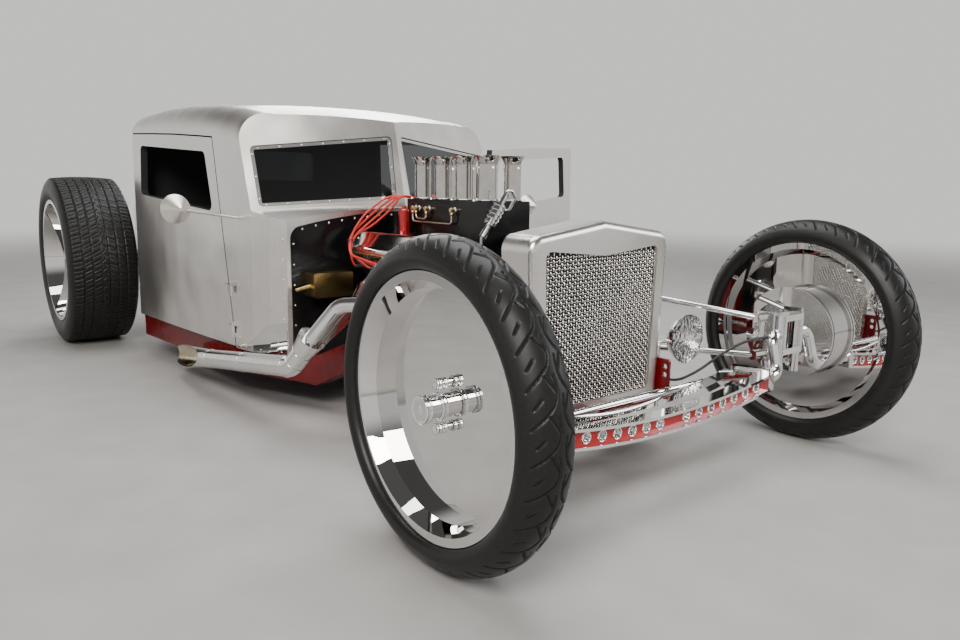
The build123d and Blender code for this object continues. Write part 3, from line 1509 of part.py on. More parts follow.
def axle_brackets():
    """Batwing plates behind the axle's ends and the bosses for the spring."""
    x_from = LINK_AXLE_X + LINK_EYE_T / 2 + SEAT_GAP
    plate = block(
        x_from,
        x_from + LINK_PLATE_T,
        FRONT_AXLE_Y,
        FRONT_AXLE_Y + LINK_BRACKET_Y + LINK_EYE_R,
        LINK_HEIGHTS[1][0] - LINK_EYE_R - 1,
        LINK_HEIGHTS[0][0] + LINK_EYE_R + 4,
    )
    plate -= rod((KINGPIN_X, FRONT_AXLE_Y, 0), (KINGPIN_X, FRONT_AXLE_Y, 900), AXLE_EYE_R + 5)
    boss = block(
        SPRING_END_X - 24,
        SPRING_END_X - 8,
        FRONT_AXLE_Y - AXLE_AHEAD + AXLE_FLANGE_W / 2 - 3,
        FRONT_AXLE_Y + SPRING_TO - SPRING_WIDTH - SEAT_GAP,
        AXLE_END_Z - AXLE_DEPTH / 2 + 2,
        AXLE_END_Z + AXLE_DEPTH / 2 - 8,
    )
    return plate + boss


def brake_hoses(chassis, beam, links):
    points = [
        (HORN_X + HORN_T / 2, -1376, 226),
        (340, -1398, 214),
        (395, -1436, 246),
        (448, -1484, 306),
        (498, -1534, 352),
        (AXLE_LOOP_X, FRONT_AXLE_Y - 6, FRONT_TYRE_R + 2),
    ]
    return both_sides(cord(points, HOSE_LINE_R) - chassis - beam - links)


# Rear axle and its links

def rear_axle():
    y, z = REAR_AXLE_Y, REAR_TYRE_R
    hub_in = REAR_WHEEL_X + REAR_HUB_IN
    plate_x = hub_in - BACKING_GAP - BACKING_T
    tube = rod((0, y, z), (plate_x, y, z), 42)
    tube += rod((plate_x, y, z), (plate_x + BACKING_T, y, z), REAR_DRUM_R + DRUM_RIDGE)
    stub_end = REAR_WHEEL_X + REAR_HUB_OUT - HUB_WALL - 9
    tube += rod((plate_x, y, z), (stub_end, y, z), AXLE_STUB_R)
    for x in (LOWER_ARM_X, COIL_FOOT[0]):
        tube += block(x - 12, x + 12, y - 20, y + 20, z - 66, z)
    whole = tube + mirrored(tube)
    return whole + diff_case(0)


def rear_links(axle, chassis):
    """A trailing arm on each side, from the rail forward of the wheel to the axle."""
    start = (LOWER_ARM_X, REAR_AXLE_Y - 18, REAR_TYRE_R - 50)
    end = (cab_half_width(DOOR_REAR_Y) - RAIL_INSET - RAIL_WIDTH / 2, 1060, 150)
    arm = rod(start, end, 15)
    return [side - axle - chassis for side in both_sides(arm)]


def coil_overs(axle, chassis):
    """Inclined dampers with a fat coil, behind the axle."""
    start = Vector(*COIL_FOOT)
    end = Vector(*COIL_TOP)
    run = end - start
    damper = rod(start, end, 13)
    damper += rod(start + run * 0.22, start + run * 0.8, 34)
    for n in range(7):
        at = 0.25 + n * 0.08
        ring = rod(start + run * at, start + run * (at + 0.03), 42)
        damper += ring
    return [side - axle - chassis for side in both_sides(damper)]


def main():
    os.makedirs("parts", exist_ok=True)

    outside = cab_form(0)
    inside = cab_form(CAB_WALL)
    wall = outside - inside
    shell = cab_shell(wall)
    door = left_door(wall)
    save("cab_shell", shell)
    save("door_left", swung(door, DOOR_OPEN_ANGLE))
    save("door_right", mirrored(door))
    save("door_hinges", *[side for pin in left_hinge_pins(shell) for side in both_sides(pin)])
    save("windscreen", *windscreen())
    pane_y = CAB_BACK[0] - CAB_WALL / 2
    save("rear_window", across(rear_window(SEAT_GAP), pane_y - PANE_T, pane_y))
    save("window_bands", *window_bands())
    save("firewall", firewall())
    save("firewall_box", firewall_box())
    save("floor", floor_pan())
    save("seats", *seats())
    save("dash", dash(inside))
    save("steering_column", column())
    save("steering_wheel", steering_wheel())
    save("tail", tail())
    save("tail_lamps", *tail_lamps())
    save("mirrors", *mirrors(shell))

    engine = engine_block()
    chassis = frame()
    mounts = engine_mounts(chassis, engine)
    save("frame", chassis)
    save("engine_mounts", *mounts)
    save("engine_block", engine)
    heads = cylinder_heads()
    head_pair = heads[0] + heads[1]
    save("cylinder_heads", *heads)
    save("valve_covers", *valve_covers())
    manifold = injector_manifold()
    save("injector_manifold", manifold)
    save("catch_can", catch_can() - manifold)
    save("velocity_stacks", *velocity_stacks())
    save("fuel_lines", *fuel_lines())
    save("distributor", distributor())
    cap = distributor_cap()
    save("distributor_cap", cap)
    save("plug_wires", *plug_wires(cap, head_pair))
    save("pulleys", *pulleys())
    save("radiator_hose", radiator_hose())
    save("fuel_filter", fuel_filter(manifold))
    save("driveline", driveline())
    save("exhausts", *both_sides(exhaust(heads[0])))

    radiator = radiator_shell()
    save("radiator_shell", radiator)
    save("radiator_core", radiator_core())
    save("grille", *grille())
    filled = across(radiator_outline(0), RADIATOR_Y, RADIATOR_Y + RADIATOR_DEPTH)
    save("headlights", *both_sides(headlight(filled)))
    save("headlight_lenses", *both_sides(headlight_lens()))

    beam, web = axle_beam_and_web()
    save("front_axle", beam)
    save("axle_web", web)
    save("front_spring", front_spring())
    links = front_links()
    save("front_links", *links)
    save("brake_hoses", *brake_hoses(chassis, beam, links[0] + links[1] + links[2] + links[3]))
    left_knuckle = knuckle()
    save("knuckle_left", left_knuckle)
    save("knuckle_right", mirrored(left_knuckle))
    save("tie_rod", tie_rod())

    axle = rear_axle()
    save("rear_axle", axle)
    save("rear_links", *rear_links(axle, chassis))
    save("coil_overs", *coil_overs(axle, chassis))

    for name, (rim, tyre) in (("front", front_wheel()), ("rear", rear_wheel())):
        save(f"rim_{name}_left", rim)
        save(f"rim_{name}_right", mirrored(rim))
        save(f"tyre_{name}_left", tyre)
        save(f"tyre_{name}_right", mirrored(tyre))


main()
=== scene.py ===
"""Looks of a closed-cab street rod: finishes, tyre tread, woven grille, rivets, seats and studio."""
import bmesh
import bpy
import math
import numpy as np
from mathutils import Matrix, Vector


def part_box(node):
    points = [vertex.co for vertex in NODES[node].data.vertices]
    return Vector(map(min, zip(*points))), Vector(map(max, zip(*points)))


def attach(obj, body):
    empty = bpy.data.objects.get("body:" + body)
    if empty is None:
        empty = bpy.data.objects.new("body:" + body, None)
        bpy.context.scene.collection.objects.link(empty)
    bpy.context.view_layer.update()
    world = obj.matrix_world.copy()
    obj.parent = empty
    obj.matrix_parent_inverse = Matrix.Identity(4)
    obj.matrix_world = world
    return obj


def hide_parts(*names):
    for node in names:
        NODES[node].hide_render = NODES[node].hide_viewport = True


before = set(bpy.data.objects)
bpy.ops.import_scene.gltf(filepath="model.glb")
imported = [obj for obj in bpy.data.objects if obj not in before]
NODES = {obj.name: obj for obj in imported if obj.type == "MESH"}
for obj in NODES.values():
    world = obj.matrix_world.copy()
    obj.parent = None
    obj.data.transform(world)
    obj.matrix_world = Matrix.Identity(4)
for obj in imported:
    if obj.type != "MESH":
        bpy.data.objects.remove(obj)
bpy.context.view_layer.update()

MM = 0.001

# Camera: place in metres, angles in radians, lens and sensor in millimetres
CAMERA_PLACE = Vector((-1.6728, -2.8708, 0.8423))
CAMERA_YAW = 0.6747
CAMERA_PITCH = 0.1783
CAMERA_ROLL = 0.0122
CAMERA_LENS = 28.31
CAMERA_SENSOR = 36

# Surroundings that the camera, metal and glass see, and the height at which they darken
PALE = (0.83, 0.82, 0.80)
CEILING = (0.10, 0.098, 0.095)
CEILING_FROM, CEILING_TO = 0.22, 0.62
WORLD_LIGHT = 0.34

# Floor, in metres: half its width, and where it starts and ends to fade
FLOOR_HALF = 40.0
FADE_FROM, FADE_TO = 3.5, 13.0

# Lamps: name, place, target, size, power and colour
LAMPS = (
    ("key", (-3.6, -4.2, 3.8), (0, -0.4, 0.5), 2.2, 300, (1.0, 0.955, 0.90)),
    ("fill", (3.8, -4.4, 2.8), (0, -0.8, 0.5), 2.6, 110, (0.95, 0.97, 1.0)),
    ("top", (0.2, 0.2, 4.6), (0, 0, 0.4), 3.6, 210, (1, 1, 1)),
    ("back", (2.6, 4.6, 3.2), (0, 0.5, 0.7), 2.4, 130, (1, 1, 1)),
)


# Studio

def aim_camera():
    """Look along the photo's line of sight."""
    level = Vector((math.cos(CAMERA_YAW), -math.sin(CAMERA_YAW), 0))
    ahead = Vector((
        math.sin(CAMERA_YAW) * math.cos(CAMERA_PITCH),
        math.cos(CAMERA_YAW) * math.cos(CAMERA_PITCH),
        -math.sin(CAMERA_PITCH),
    ))
    above = level.cross(ahead)
    right = level * math.cos(CAMERA_ROLL) + above * math.sin(CAMERA_ROLL)
    up = above * math.cos(CAMERA_ROLL) - level * math.sin(CAMERA_ROLL)
    camera = bpy.data.objects.new("camera", bpy.data.cameras.new("camera"))
    camera.data.lens = CAMERA_LENS
    camera.data.sensor_width = CAMERA_SENSOR
    camera.matrix_world = Matrix((
        (right.x, up.x, -ahead.x, CAMERA_PLACE.x),
        (right.y, up.y, -ahead.y, CAMERA_PLACE.y),
        (right.z, up.z, -ahead.z, CAMERA_PLACE.z),
        (0, 0, 0, 1),
    ))
    bpy.context.collection.objects.link(camera)
    bpy.context.scene.camera = camera


def softbox(name, place, target, size, power, color):
    """A square area lamp that faces a point."""
    lamp = bpy.data.objects.new(name, bpy.data.lights.new(name, "AREA"))
    lamp.data.size = size
    lamp.data.energy = power
    lamp.data.color = color
    lamp.location = place
    lamp.rotation_euler = (Vector(target) - Vector(place)).to_track_quat("-Z", "Y").to_euler()
    bpy.context.collection.objects.link(lamp)


def add(tree, kind, inputs=None, **settings):
    """One shader node with its settings and its inputs, as values or as links."""
    made = tree.nodes.new(kind)
    for key, value in settings.items():
        setattr(made, key, value)
    for key, value in (inputs or {}).items():
        if isinstance(value, bpy.types.NodeSocket):
            tree.links.new(value, made.inputs[key])
        else:
            made.inputs[key].default_value = value
    return made


def blended(tree, share, first, second):
    """Two colours mixed by a share."""
    return add(tree, "ShaderNodeMix", {0: share, 6: first, 7: second}, data_type="RGBA").outputs[2]


def eased(tree, value, start, end):
    """A value's smooth way from nothing at a start to one at an end."""
    ends = {"From Min": start, "From Max": end}
    made = add(tree, "ShaderNodeMapRange", {"Value": value, **ends}, interpolation_type="SMOOTHSTEP")
    return made.outputs[0]


def show(tree, shader):
    """Send a shader to the material's output."""
    output = next(n for n in tree.nodes if n.type == "OUTPUT_MATERIAL")
    tree.links.new(shader.outputs[0], output.inputs["Surface"])


def shown_ray(tree):
    """One for what the camera, metal and glass see, and nothing for the light on the object."""
    seen = add(tree, "ShaderNodeLightPath")
    share = seen.outputs["Is Camera Ray"]
    for kind in ("Is Glossy Ray", "Is Transmission Ray"):
        share = add(tree, "ShaderNodeMath", {0: share, 1: seen.outputs[kind]}, operation="MAXIMUM").outputs[0]
    return share


def pale_world():
    """Pale round the horizon and darker overhead for camera, metal and glass, and dimmer as light."""
    world = bpy.data.worlds.new("studio")
    bpy.context.scene.world = world
    world.use_nodes = True
    tree = world.node_tree
    tree.nodes.clear()
    place = add(tree, "ShaderNodeTexCoord")
    parts = add(tree, "ShaderNodeSeparateXYZ", {"Vector": place.outputs["Generated"]})
    rise = eased(tree, parts.outputs["Z"], CEILING_FROM, CEILING_TO)
    sky = blended(tree, rise, (*PALE, 1), (*CEILING, 1))
    shown = add(tree, "ShaderNodeBackground", {"Color": sky, "Strength": 1.0})
    light = add(tree, "ShaderNodeBackground", {"Color": (0.96, 0.95, 0.94, 1), "Strength": WORLD_LIGHT})
    mixed = add(tree, "ShaderNodeMixShader", {0: shown_ray(tree), 1: light.outputs[0], 2: shown.outputs[0]})
    add(tree, "ShaderNodeOutputWorld", {"Surface": mixed.outputs[0]})


def floor():
    """A plain pale floor that fades far out into the surroundings."""
    mesh = bpy.data.meshes.new("floor")
    corners = [(x * FLOOR_HALF, y * FLOOR_HALF, 0) for x, y in ((-1, -1), (1, -1), (1, 1), (-1, 1))]
    mesh.from_pydata(corners, [], [(0, 1, 2, 3)])
    plane = bpy.data.objects.new("floor", mesh)
    bpy.context.collection.objects.link(plane)
    finish = surface("floor", ((0.37, 0.36, 0.35), (0.42, 0.41, 0.40)), 0.0, (0.65, 0.75), (5, 5, 5))
    tree = finish.node_tree
    place = add(tree, "ShaderNodeTexCoord")
    away = add(tree, "ShaderNodeVectorMath", {0: place.outputs["Object"]}, operation="LENGTH")
    far = eased(tree, away.outputs["Value"], FADE_FROM, FADE_TO)
    fade = add(tree, "ShaderNodeMath", {0: far, 1: shown_ray(tree)}, operation="MULTIPLY")
    glow = add(tree, "ShaderNodeEmission", {"Color": (*PALE, 1), "Strength": 1.0})
    mixed = add(
        tree, "ShaderNodeMixShader",
        {0: fade.outputs[0], 1: tree.nodes["Principled BSDF"].outputs[0], 2: glow.outputs[0]},
    )
    show(tree, mixed)
    mesh.materials.append(finish)


def studio():
    aim_camera()
    pale_world()
    floor()
    for lamp in LAMPS:
        softbox(*lamp)


# Finishes

def grain_noise(tree, scale, detail=6.0):
    """Noise in the object's own frame, stretched by a scale for each axis."""
    place = add(tree, "ShaderNodeTexCoord")
    mapped = add(tree, "ShaderNodeMapping", {"Vector": place.outputs["Object"], "Scale": scale})
    return add(tree, "ShaderNodeTexNoise", {"Vector": mapped.outputs[0], "Scale": 1.0, "Detail": detail})


def spread(tree, value, low, high):
    """Turn a noise value into a range."""
    ends = {"From Min": 0.3, "From Max": 0.7, "To Min": low, "To Max": high}
    return add(tree, "ShaderNodeMapRange", {"Value": value, **ends}).outputs[0]


def bumped(tree, height, strength, distance):
    """Relief from a height, with its strength and its depth in metres."""
    return add(tree, "ShaderNodeBump", {"Height": height, "Strength": strength, "Distance": distance})


def surface(name, colors, metallic, roughness, grain, bump=0.0, wear=None, wave=0.0, **sockets):
    """A procedural finish: two mixed tones, uneven gloss, a fine relief and a slow wave."""
    finish = bpy.data.materials.new(name)
    finish.use_nodes = True
    tree = finish.node_tree
    shader = tree.nodes["Principled BSDF"]
    noise = grain_noise(tree, grain)
    dark, light = colors
    tone = blended(tree, spread(tree, noise.outputs["Fac"], 0, 1), (*dark, 1), (*light, 1))
    tree.links.new(tone, shader.inputs["Base Color"])
    smudge = grain_noise(tree, wear or (7, 7, 7), 4.0)
    tree.links.new(spread(tree, smudge.outputs["Fac"], *roughness), shader.inputs["Roughness"])
    shader.inputs["Metallic"].default_value = metallic
    if bump:
        relief = bumped(tree, noise.outputs["Fac"], 0.35, bump)
        if wave:
            slow = grain_noise(tree, (4, 4, 4), 1.0)
            swell = bumped(tree, slow.outputs["Fac"], 1.0, wave)
            tree.links.new(swell.outputs[0], relief.inputs["Normal"])
        tree.links.new(relief.outputs[0], shader.inputs["Normal"])
    for key, value in sockets.items():
        shader.inputs[key].default_value = value
    return finish


def painted_shade_inside(name, outside, inside, centre):
    """Outside metal and an inside painted near black as shade, told apart by which way a face looks from a
    centre.
    """
    finish = outside.copy()
    finish.name = name
    tree = finish.node_tree
    metal = tree.nodes["Principled BSDF"]
    place = add(tree, "ShaderNodeTexCoord")
    away = add(tree, "ShaderNodeVectorMath", {0: place.outputs["Object"], 1: centre}, operation="SUBTRACT")
    ends = {0: away.outputs[0], 1: place.outputs["Normal"]}
    facing = add(tree, "ShaderNodeVectorMath", ends, operation="DOT_PRODUCT")
    outer = add(tree, "ShaderNodeMath", {0: facing.outputs["Value"], 1: 0.02}, operation="GREATER_THAN")
    # The inside's near-black colour is painted shade for the dark inside of the cab
    trim = add(tree, "ShaderNodeBsdfPrincipled", {"Base Color": (*inside, 1), "Roughness": 0.8})
    both = add(tree, "ShaderNodeMixShader", {0: outer.outputs[0], 1: trim.outputs[0], 2: metal.outputs[0]})
    show(tree, both)
    return finish


# Near-black colour of the inside faces of the cab and doors: painted shade
INSIDE_PAINTED_SHADE = (0.012, 0.012, 0.013)

# Material name, dark and light tone, metallic, range of roughness, scale of the grain,
# and where they are needed the relief in metres, the scale of the wear and the slow wave in metres
FINISHES = {
    "brushed": (
        "brushed_aluminium", ((0.80, 0.77, 0.735), (0.86, 0.83, 0.795)), 1.0, (0.24, 0.38),
        (140, 140, 12), 0.00016, (2.2, 2.2, 1.2), 0.011,
    ),
    "brushed_level": (
        "brushed_level", ((0.80, 0.77, 0.735), (0.86, 0.83, 0.795)), 1.0, (0.22, 0.34),
        (12, 140, 140), 0.00016, (2.5, 2.5, 2.5), 0.008,
    ),
    "satin": ("satin_aluminium", ((0.80, 0.76, 0.70), (0.87, 0.83, 0.77)), 1.0, (0.34, 0.46), (60, 60, 60)),
    "polished": (
        "polished_aluminium", ((0.78, 0.77, 0.75), (0.86, 0.85, 0.83)), 1.0, (0.05, 0.14), (18, 18, 18),
    ),
    "chrome": ("chrome", ((0.82, 0.82, 0.82), (0.90, 0.90, 0.90)), 1.0, (0.02, 0.07), (25, 25, 25)),
    "trumpet": (
        "trumpet_chrome", ((0.50, 0.475, 0.45), (0.60, 0.575, 0.55)), 1.0, (0.03, 0.09), (22, 22, 22),
    ),
    "mirror_disc": ("mirror_disc", ((0.70, 0.69, 0.68), (0.75, 0.74, 0.73)), 1.0, (0.01, 0.03), (9, 9, 9)),
    "mesh_wire": ("mesh_wire", ((0.86, 0.84, 0.80), (0.93, 0.91, 0.87)), 1.0, (0.08, 0.16), (25, 25, 25)),
    "pale_line": ("pale_line", ((0.62, 0.55, 0.46), (0.72, 0.66, 0.56)), 1.0, (0.18, 0.3), (70, 70, 70)),
    "gold_bore": ("heated_bore", ((0.62, 0.50, 0.30), (0.86, 0.78, 0.58)), 1.0, (0.12, 0.3), (14, 14, 14)),
    "brass": ("brass", ((0.66, 0.46, 0.17), (0.80, 0.60, 0.26)), 1.0, (0.12, 0.26), (40, 40, 40)),
    # Frame and mounts red: partly the paint's own deep maroon, partly painted shade that darkens it well
    # below the axle web's red
    "red_paint": ("red_paint", ((0.12, 0.002, 0.003), (0.17, 0.003, 0.004)), 0.0, (0.2, 0.3), (30, 30, 30)),
    "red_web": ("red_web", ((0.42, 0.005, 0.006), (0.52, 0.010, 0.010)), 0.0, (0.2, 0.3), (30, 30, 30)),
    "red_gloss": ("red_gloss", ((0.42, 0.006, 0.008), (0.50, 0.012, 0.012)), 0.6, (0.12, 0.2), (30, 30, 30)),
    "black_paint": (
        "black_paint", ((0.003, 0.003, 0.0034), (0.006, 0.006, 0.0064)), 0.0, (0.16, 0.26),
        (40, 40, 40), 0.0002,
    ),
    "cast_black": (
        "cast_black", ((0.014, 0.014, 0.015), (0.028, 0.028, 0.029)), 0.2, (0.42, 0.6),
        (220, 220, 220), 0.0008,
    ),
    "rubber": (
        "tyre_rubber", ((0.006, 0.006, 0.006), (0.011, 0.0105, 0.010)), 0.0, (0.34, 0.48),
        (160, 160, 160), 0.0003,
    ),
    # Rubber in the grooves: matte, and darker than the blocks as painted shade in the recesses
    "groove": (
        "tread_groove_painted_shade", ((0.002, 0.002, 0.002), (0.004, 0.004, 0.004)), 0.0, (0.8, 0.95), (90, 90, 90),
    ),
    "hose": (
        "hose_rubber", ((0.010, 0.010, 0.010), (0.016, 0.016, 0.016)), 0.0, (0.38, 0.5),
        (200, 200, 200), 0.0003,
    ),
    "wire": ("wire_red", ((0.56, 0.018, 0.014), (0.66, 0.03, 0.02)), 0.0, (0.28, 0.4), (60, 60, 60)),
    "leather": (
        "leather", ((0.020, 0.013, 0.010), (0.040, 0.026, 0.019)), 0.0, (0.42, 0.6),
        (420, 420, 420), 0.0012,
    ),
}
# Lacquer and shine of the painted and rubber finishes
SHEEN = {
    "red_paint": {"Specular IOR Level": 0.3, "Coat Weight": 0.25, "Coat Roughness": 0.05},
    "red_web": {"Specular IOR Level": 0.3, "Coat Weight": 0.3, "Coat Roughness": 0.04},
    "red_gloss": {"Coat Weight": 1.0, "Coat Roughness": 0.04},
    "black_paint": {"Specular IOR Level": 0.28, "Coat Weight": 0.15, "Coat Roughness": 0.06},
    "rubber": {"Specular IOR Level": 0.34},
}
# Brushed skins whose inside is painted near black as shade, each with the point in metres that its outside
# faces away from
SKINS_SHADED_INSIDE = {
    "cab_skin": (0, 0.4, 0.62),
    "door_left_skin": (0, 1.2, 0.62),
    "door_right_skin": (0, 0.5, 0.62),
}
GLASS_IOR = 1.45
LENS_FACETS = 70.0


def make_finishes():
    """Every finish by name."""
    made = {key: surface(*row, **SHEEN.get(key, {})) for key, row in FINISHES.items()}
    made |= {key: painted_shade_inside(key, made["brushed"], INSIDE_PAINTED_SHADE, centre) for key, centre in SKINS_SHADED_INSIDE.items()}
    # The screens' glass is tinted dark: painted shade for the dark cab seen through it
    made["glass"] = glass("screen_glass", (0.10, 0.105, 0.11), 0.0)
    made["lamp_glass"] = glass("lamp_glass", (1, 1, 1), 0.0, LENS_FACETS)
    made["lamp_red"] = glass("lamp_red", (0.75, 0.03, 0.03), 0.05)
    return made


def glass(name, color, roughness, facets=0.0):
    """Clear glass, either faintly uneven or pressed into facets."""
    finish = bpy.data.materials.new(name)
    finish.use_nodes = True
    tree = finish.node_tree
    shader = tree.nodes["Principled BSDF"]
    shader.inputs["Base Color"].default_value = (*color, 1)
    shader.inputs["Roughness"].default_value = roughness
    shader.inputs["Transmission Weight"].default_value = 1.0
    shader.inputs["IOR"].default_value = GLASS_IOR
    if facets:
        place = add(tree, "ShaderNodeTexCoord")
        cells = add(tree, "ShaderNodeTexVoronoi", {"Vector": place.outputs["Object"], "Scale": facets})
        relief = bumped(tree, cells.outputs["Distance"], 0.8, 0.004)
    else:
        noise = grain_noise(tree, (3, 3, 3), 2.0)
        relief = bumped(tree, noise.outputs["Fac"], 0.05, 0.002)
    tree.links.new(relief.outputs[0], shader.inputs["Normal"])
    return finish


NODES_OF_FINISH = {
    "cab_skin": ("cab_shell",),
    "door_left_skin": ("door_left",),
    "door_right_skin": ("door_right",),
    "brushed_level": ("dash", "radiator_shell", "tail"),
    "satin": ("mirrors",),
    "polished": (
        "cylinder_heads", "distributor", "exhausts", "pulleys", "steering_wheel", "valve_covers",
        "window_bands",
    ),
    "chrome": (
        "coil_overs", "door_hinges", "front_axle", "front_links", "front_spring", "fuel_filter",
        "grille", "headlights", "knuckle_left", "knuckle_right", "rear_axle", "rear_links",
        "steering_column", "tie_rod",
    ),
    "trumpet": ("velocity_stacks",),
    "mirror_disc": ("rim_front_left", "rim_front_right", "rim_rear_left", "rim_rear_right"),
    # The frame and the engine mounts get the red that is darkened with painted shade
    "red_paint": ("engine_mounts", "frame"),
    "red_web": ("axle_web",),
    "red_gloss": ("catch_can",),
    "black_paint": ("distributor_cap", "firewall", "floor", "injector_manifold"),
    "cast_black": ("driveline", "engine_block", "radiator_core"),
    "rubber": ("tyre_front_left", "tyre_front_right", "tyre_rear_left", "tyre_rear_right"),
    "hose": ("brake_hoses", "radiator_hose"),
    "pale_line": ("fuel_lines",),
    "brass": ("firewall_box",),
    "wire": ("plug_wires",),
    "leather": ("seats",),
    "glass": ("rear_window", "windscreen"),
    "lamp_glass": ("headlight_lenses",),
    "lamp_red": ("tail_lamps",),
}


def dress_nodes(finishes):
    """Give each node of the frame its finish."""
    for finish, names in NODES_OF_FINISH.items():
        for name in names:
            for place in NODES[name].material_slots:
                place.material = finishes[finish]


# Building blocks for added pieces

def mesh_piece(name, points, faces, finish, body, smooth=True):
    """A new piece in the row frame that rides on a body."""
    mesh = bpy.data.meshes.new(name)
    mesh.from_pydata([tuple(p) for p in points], [], [tuple(f) for f in faces])
    mesh.validate()
    mesh.materials.append(finish)
    mesh.polygons.foreach_set("use_smooth", [smooth] * len(mesh.polygons))
    piece = bpy.data.objects.new(name, mesh)
    bpy.context.collection.objects.link(piece)
    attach(piece, body)
    return piece


def grid_faces(rows, columns, wrap_rows=False):
    """Quads over a grid of points stored row by row."""
    faces = []
    for r in range(rows if wrap_rows else rows - 1):
        here = r * columns
        there = (r + 1) % rows * columns
        faces += [(here + c, here + c + 1, there + c + 1, there + c) for c in range(columns - 1)]
    return faces


def ring_faces(rings, sides):
    """Quads between rings of points, each ring closed on itself."""
    return [
        (r * sides + n, r * sides + m, (r + 1) * sides + m, (r + 1) * sides + n)
        for r in range(rings - 1) for n, m in zip(range(sides), [*range(1, sides), 0])
    ]


def spokes(axis, sides):
    """Directions square to an axis and evenly round it."""
    across = axis.orthogonal().normalized()
    other = axis.cross(across)
    turns = [2 * math.pi * n / sides for n in range(sides)]
    return [math.cos(a) * across + math.sin(a) * other for a in turns]


# A direction that no wire or pipe of the object runs along
ASKEW = (0.31, 0.83, 0.46)


def tube_grid(path, radius, sides):
    """Points of a thin tube along a path, ring by ring, with a closing column."""
    path = np.asarray(path)
    run = np.gradient(path, axis=0)
    run /= np.linalg.norm(run, axis=1)[:, None]
    side = np.cross(run, ASKEW)
    side /= np.linalg.norm(side, axis=1)[:, None]
    other = np.cross(run, side)
    rings = []
    for n in range(sides + 1):
        angle = 2 * math.pi * n / sides
        rings.append(path + radius * (math.cos(angle) * side + math.sin(angle) * other))
    return np.stack(rings, axis=1).reshape(-1, 3)


# A round head's radius and height, as shares, from its foot up
HEAD_PROFILE = ((1.0, -0.2), (0.98, 0.25), (0.72, 0.75), (0.38, 0.97))


class Bundle:
    """Collects many small surfaces into one piece."""

    def __init__(self):
        self.points = []
        self.faces = []

    def take(self, points, faces):
        start = len(self.points)
        self.points += [tuple(p) for p in points]
        self.faces += [tuple(start + i for i in face) for face in faces]

    def tube(self, path, radius, sides=6):
        self.take(tube_grid(path, radius, sides), grid_faces(len(path), sides + 1))

    def dome(self, place, facing, radius, height, sides=8):
        """A low round head, such as a rivet's, on a surface."""
        facing = Vector(facing).normalized()
        points = [
            Vector(place) + radius * r * away + facing * height * h
            for r, h in HEAD_PROFILE for away in spokes(facing, sides)
        ]
        points.append(Vector(place) + facing * height)
        rings = len(HEAD_PROFILE)
        last = (rings - 1) * sides
        faces = ring_faces(rings, sides)
        faces += [(last + n, last + (n + 1) % sides, last + sides) for n in range(sides)]
        self.take(points, faces)

    def turned(self, start, axis, profile, sides=20, flutes=0, depth=0.0):
        """A form turned round an axis from along and radius in millimetres, fluted if asked."""
        axis = Vector(axis).normalized()
        points = []
        for distance, radius in profile:
            for n, away in enumerate(spokes(axis, sides)):
                r = radius * (1 + depth * math.cos(flutes * (2 * math.pi * n / sides))) * MM
                points.append(Vector(start) * MM + axis * distance * MM + r * away)
        self.take(points, ring_faces(len(profile), sides))

    def ring(self, place, axis, radius, wire, sides=32):
        """A round wire bent into a ring, in millimetres."""
        turns = [2 * math.pi * n / 8 for n in range(9)]
        profile = [(wire * math.sin(a), radius + wire * math.cos(a)) for a in turns]
        self.turned(place, axis, profile, sides)

    def piece(self, name, finish, body, slot, smooth=True):
        return mesh_piece(name, self.points, self.faces, finish, body, smooth)


# Tyres, in millimetres

GROOVE_EASE = 1.2
GROOVE_SLOPE = 1.6
GROOVE_SHARE = 0.45
WALL_STEPS = 9
LIP_RISE = 2
LIP_TUCK = 8


def groove_depth(across, along, pitch, marks, depth):
    """How deep the tread is cut at each point; marks are bars in a pitch, in millimetres.

    A mark gives across and along for its start and for its end, and its width.
    """
    cut = np.zeros_like(across)
    for a0, l0, a1, l1, width in marks:
        for shift in (-pitch, 0, pitch):
            start = np.array((a0, l0 + shift))
            run = np.array((a1, l1 + shift)) - start
            t = ((across - start[0]) * run[0] + (along - start[1]) * run[1]) / (run @ run)
            t = np.clip(t, 0, 1)
            gap = np.hypot(across - start[0] - t * run[0], along - start[1] - t * run[1])
            cut = np.maximum(cut, np.clip((width / 2 + GROOVE_EASE - gap) / GROOVE_SLOPE, 0, 1))
    return cut * depth


def arc(start, middle, end, count):
    """Points on the circle through three points."""
    (ax, ay), (bx, by), (cx, cy) = start, middle, end
    a_sq, b_sq, c_sq = ax**2 + ay**2, bx**2 + by**2, cx**2 + cy**2
    d = 2 * (ax * (by - cy) + bx * (cy - ay) + cx * (ay - by))
    ux = (a_sq * (by - cy) + b_sq * (cy - ay) + c_sq * (ay - by)) / d
    uy = (a_sq * (cx - bx) + b_sq * (ax - cx) + c_sq * (bx - ax)) / d
    r = math.hypot(ax - ux, ay - uy)
    first = math.atan2(ay - uy, ax - ux)
    last = math.atan2(cy - uy, cx - ux)
    mid = math.atan2(by - uy, bx - ux)
    if (last - first) * (mid - first) < 0:
        last += math.copysign(2 * math.pi, mid - first)
    turns = [first + (last - first) * n / count for n in range(count + 1)]
    return [(ux + r * math.cos(turn), uy + r * math.sin(turn)) for turn in turns]


def tyre_profile(radius, half, lip_r, bead_half, shoulder_half, shoulder_r, columns):
    """Outside of the section from bead to bead, in millimetres: axial place and radius."""
    edge_r = lip_r + LIP_RISE
    wide_r = (lip_r + shoulder_r) / 2
    wall = arc((bead_half, edge_r), (half, wide_r), (shoulder_half, shoulder_r), WALL_STEPS)
    crown = arc((shoulder_half, shoulder_r), (0, radius), (-shoulder_half, shoulder_r), columns)
    far_wall = [(-x, r) for x, r in reversed(wall)]
    inner = [(bead_half, lip_r - LIP_TUCK)]
    return np.array(inner + wall[:-1] + crown + far_wall[1:] + [(-x, r) for x, r in inner])


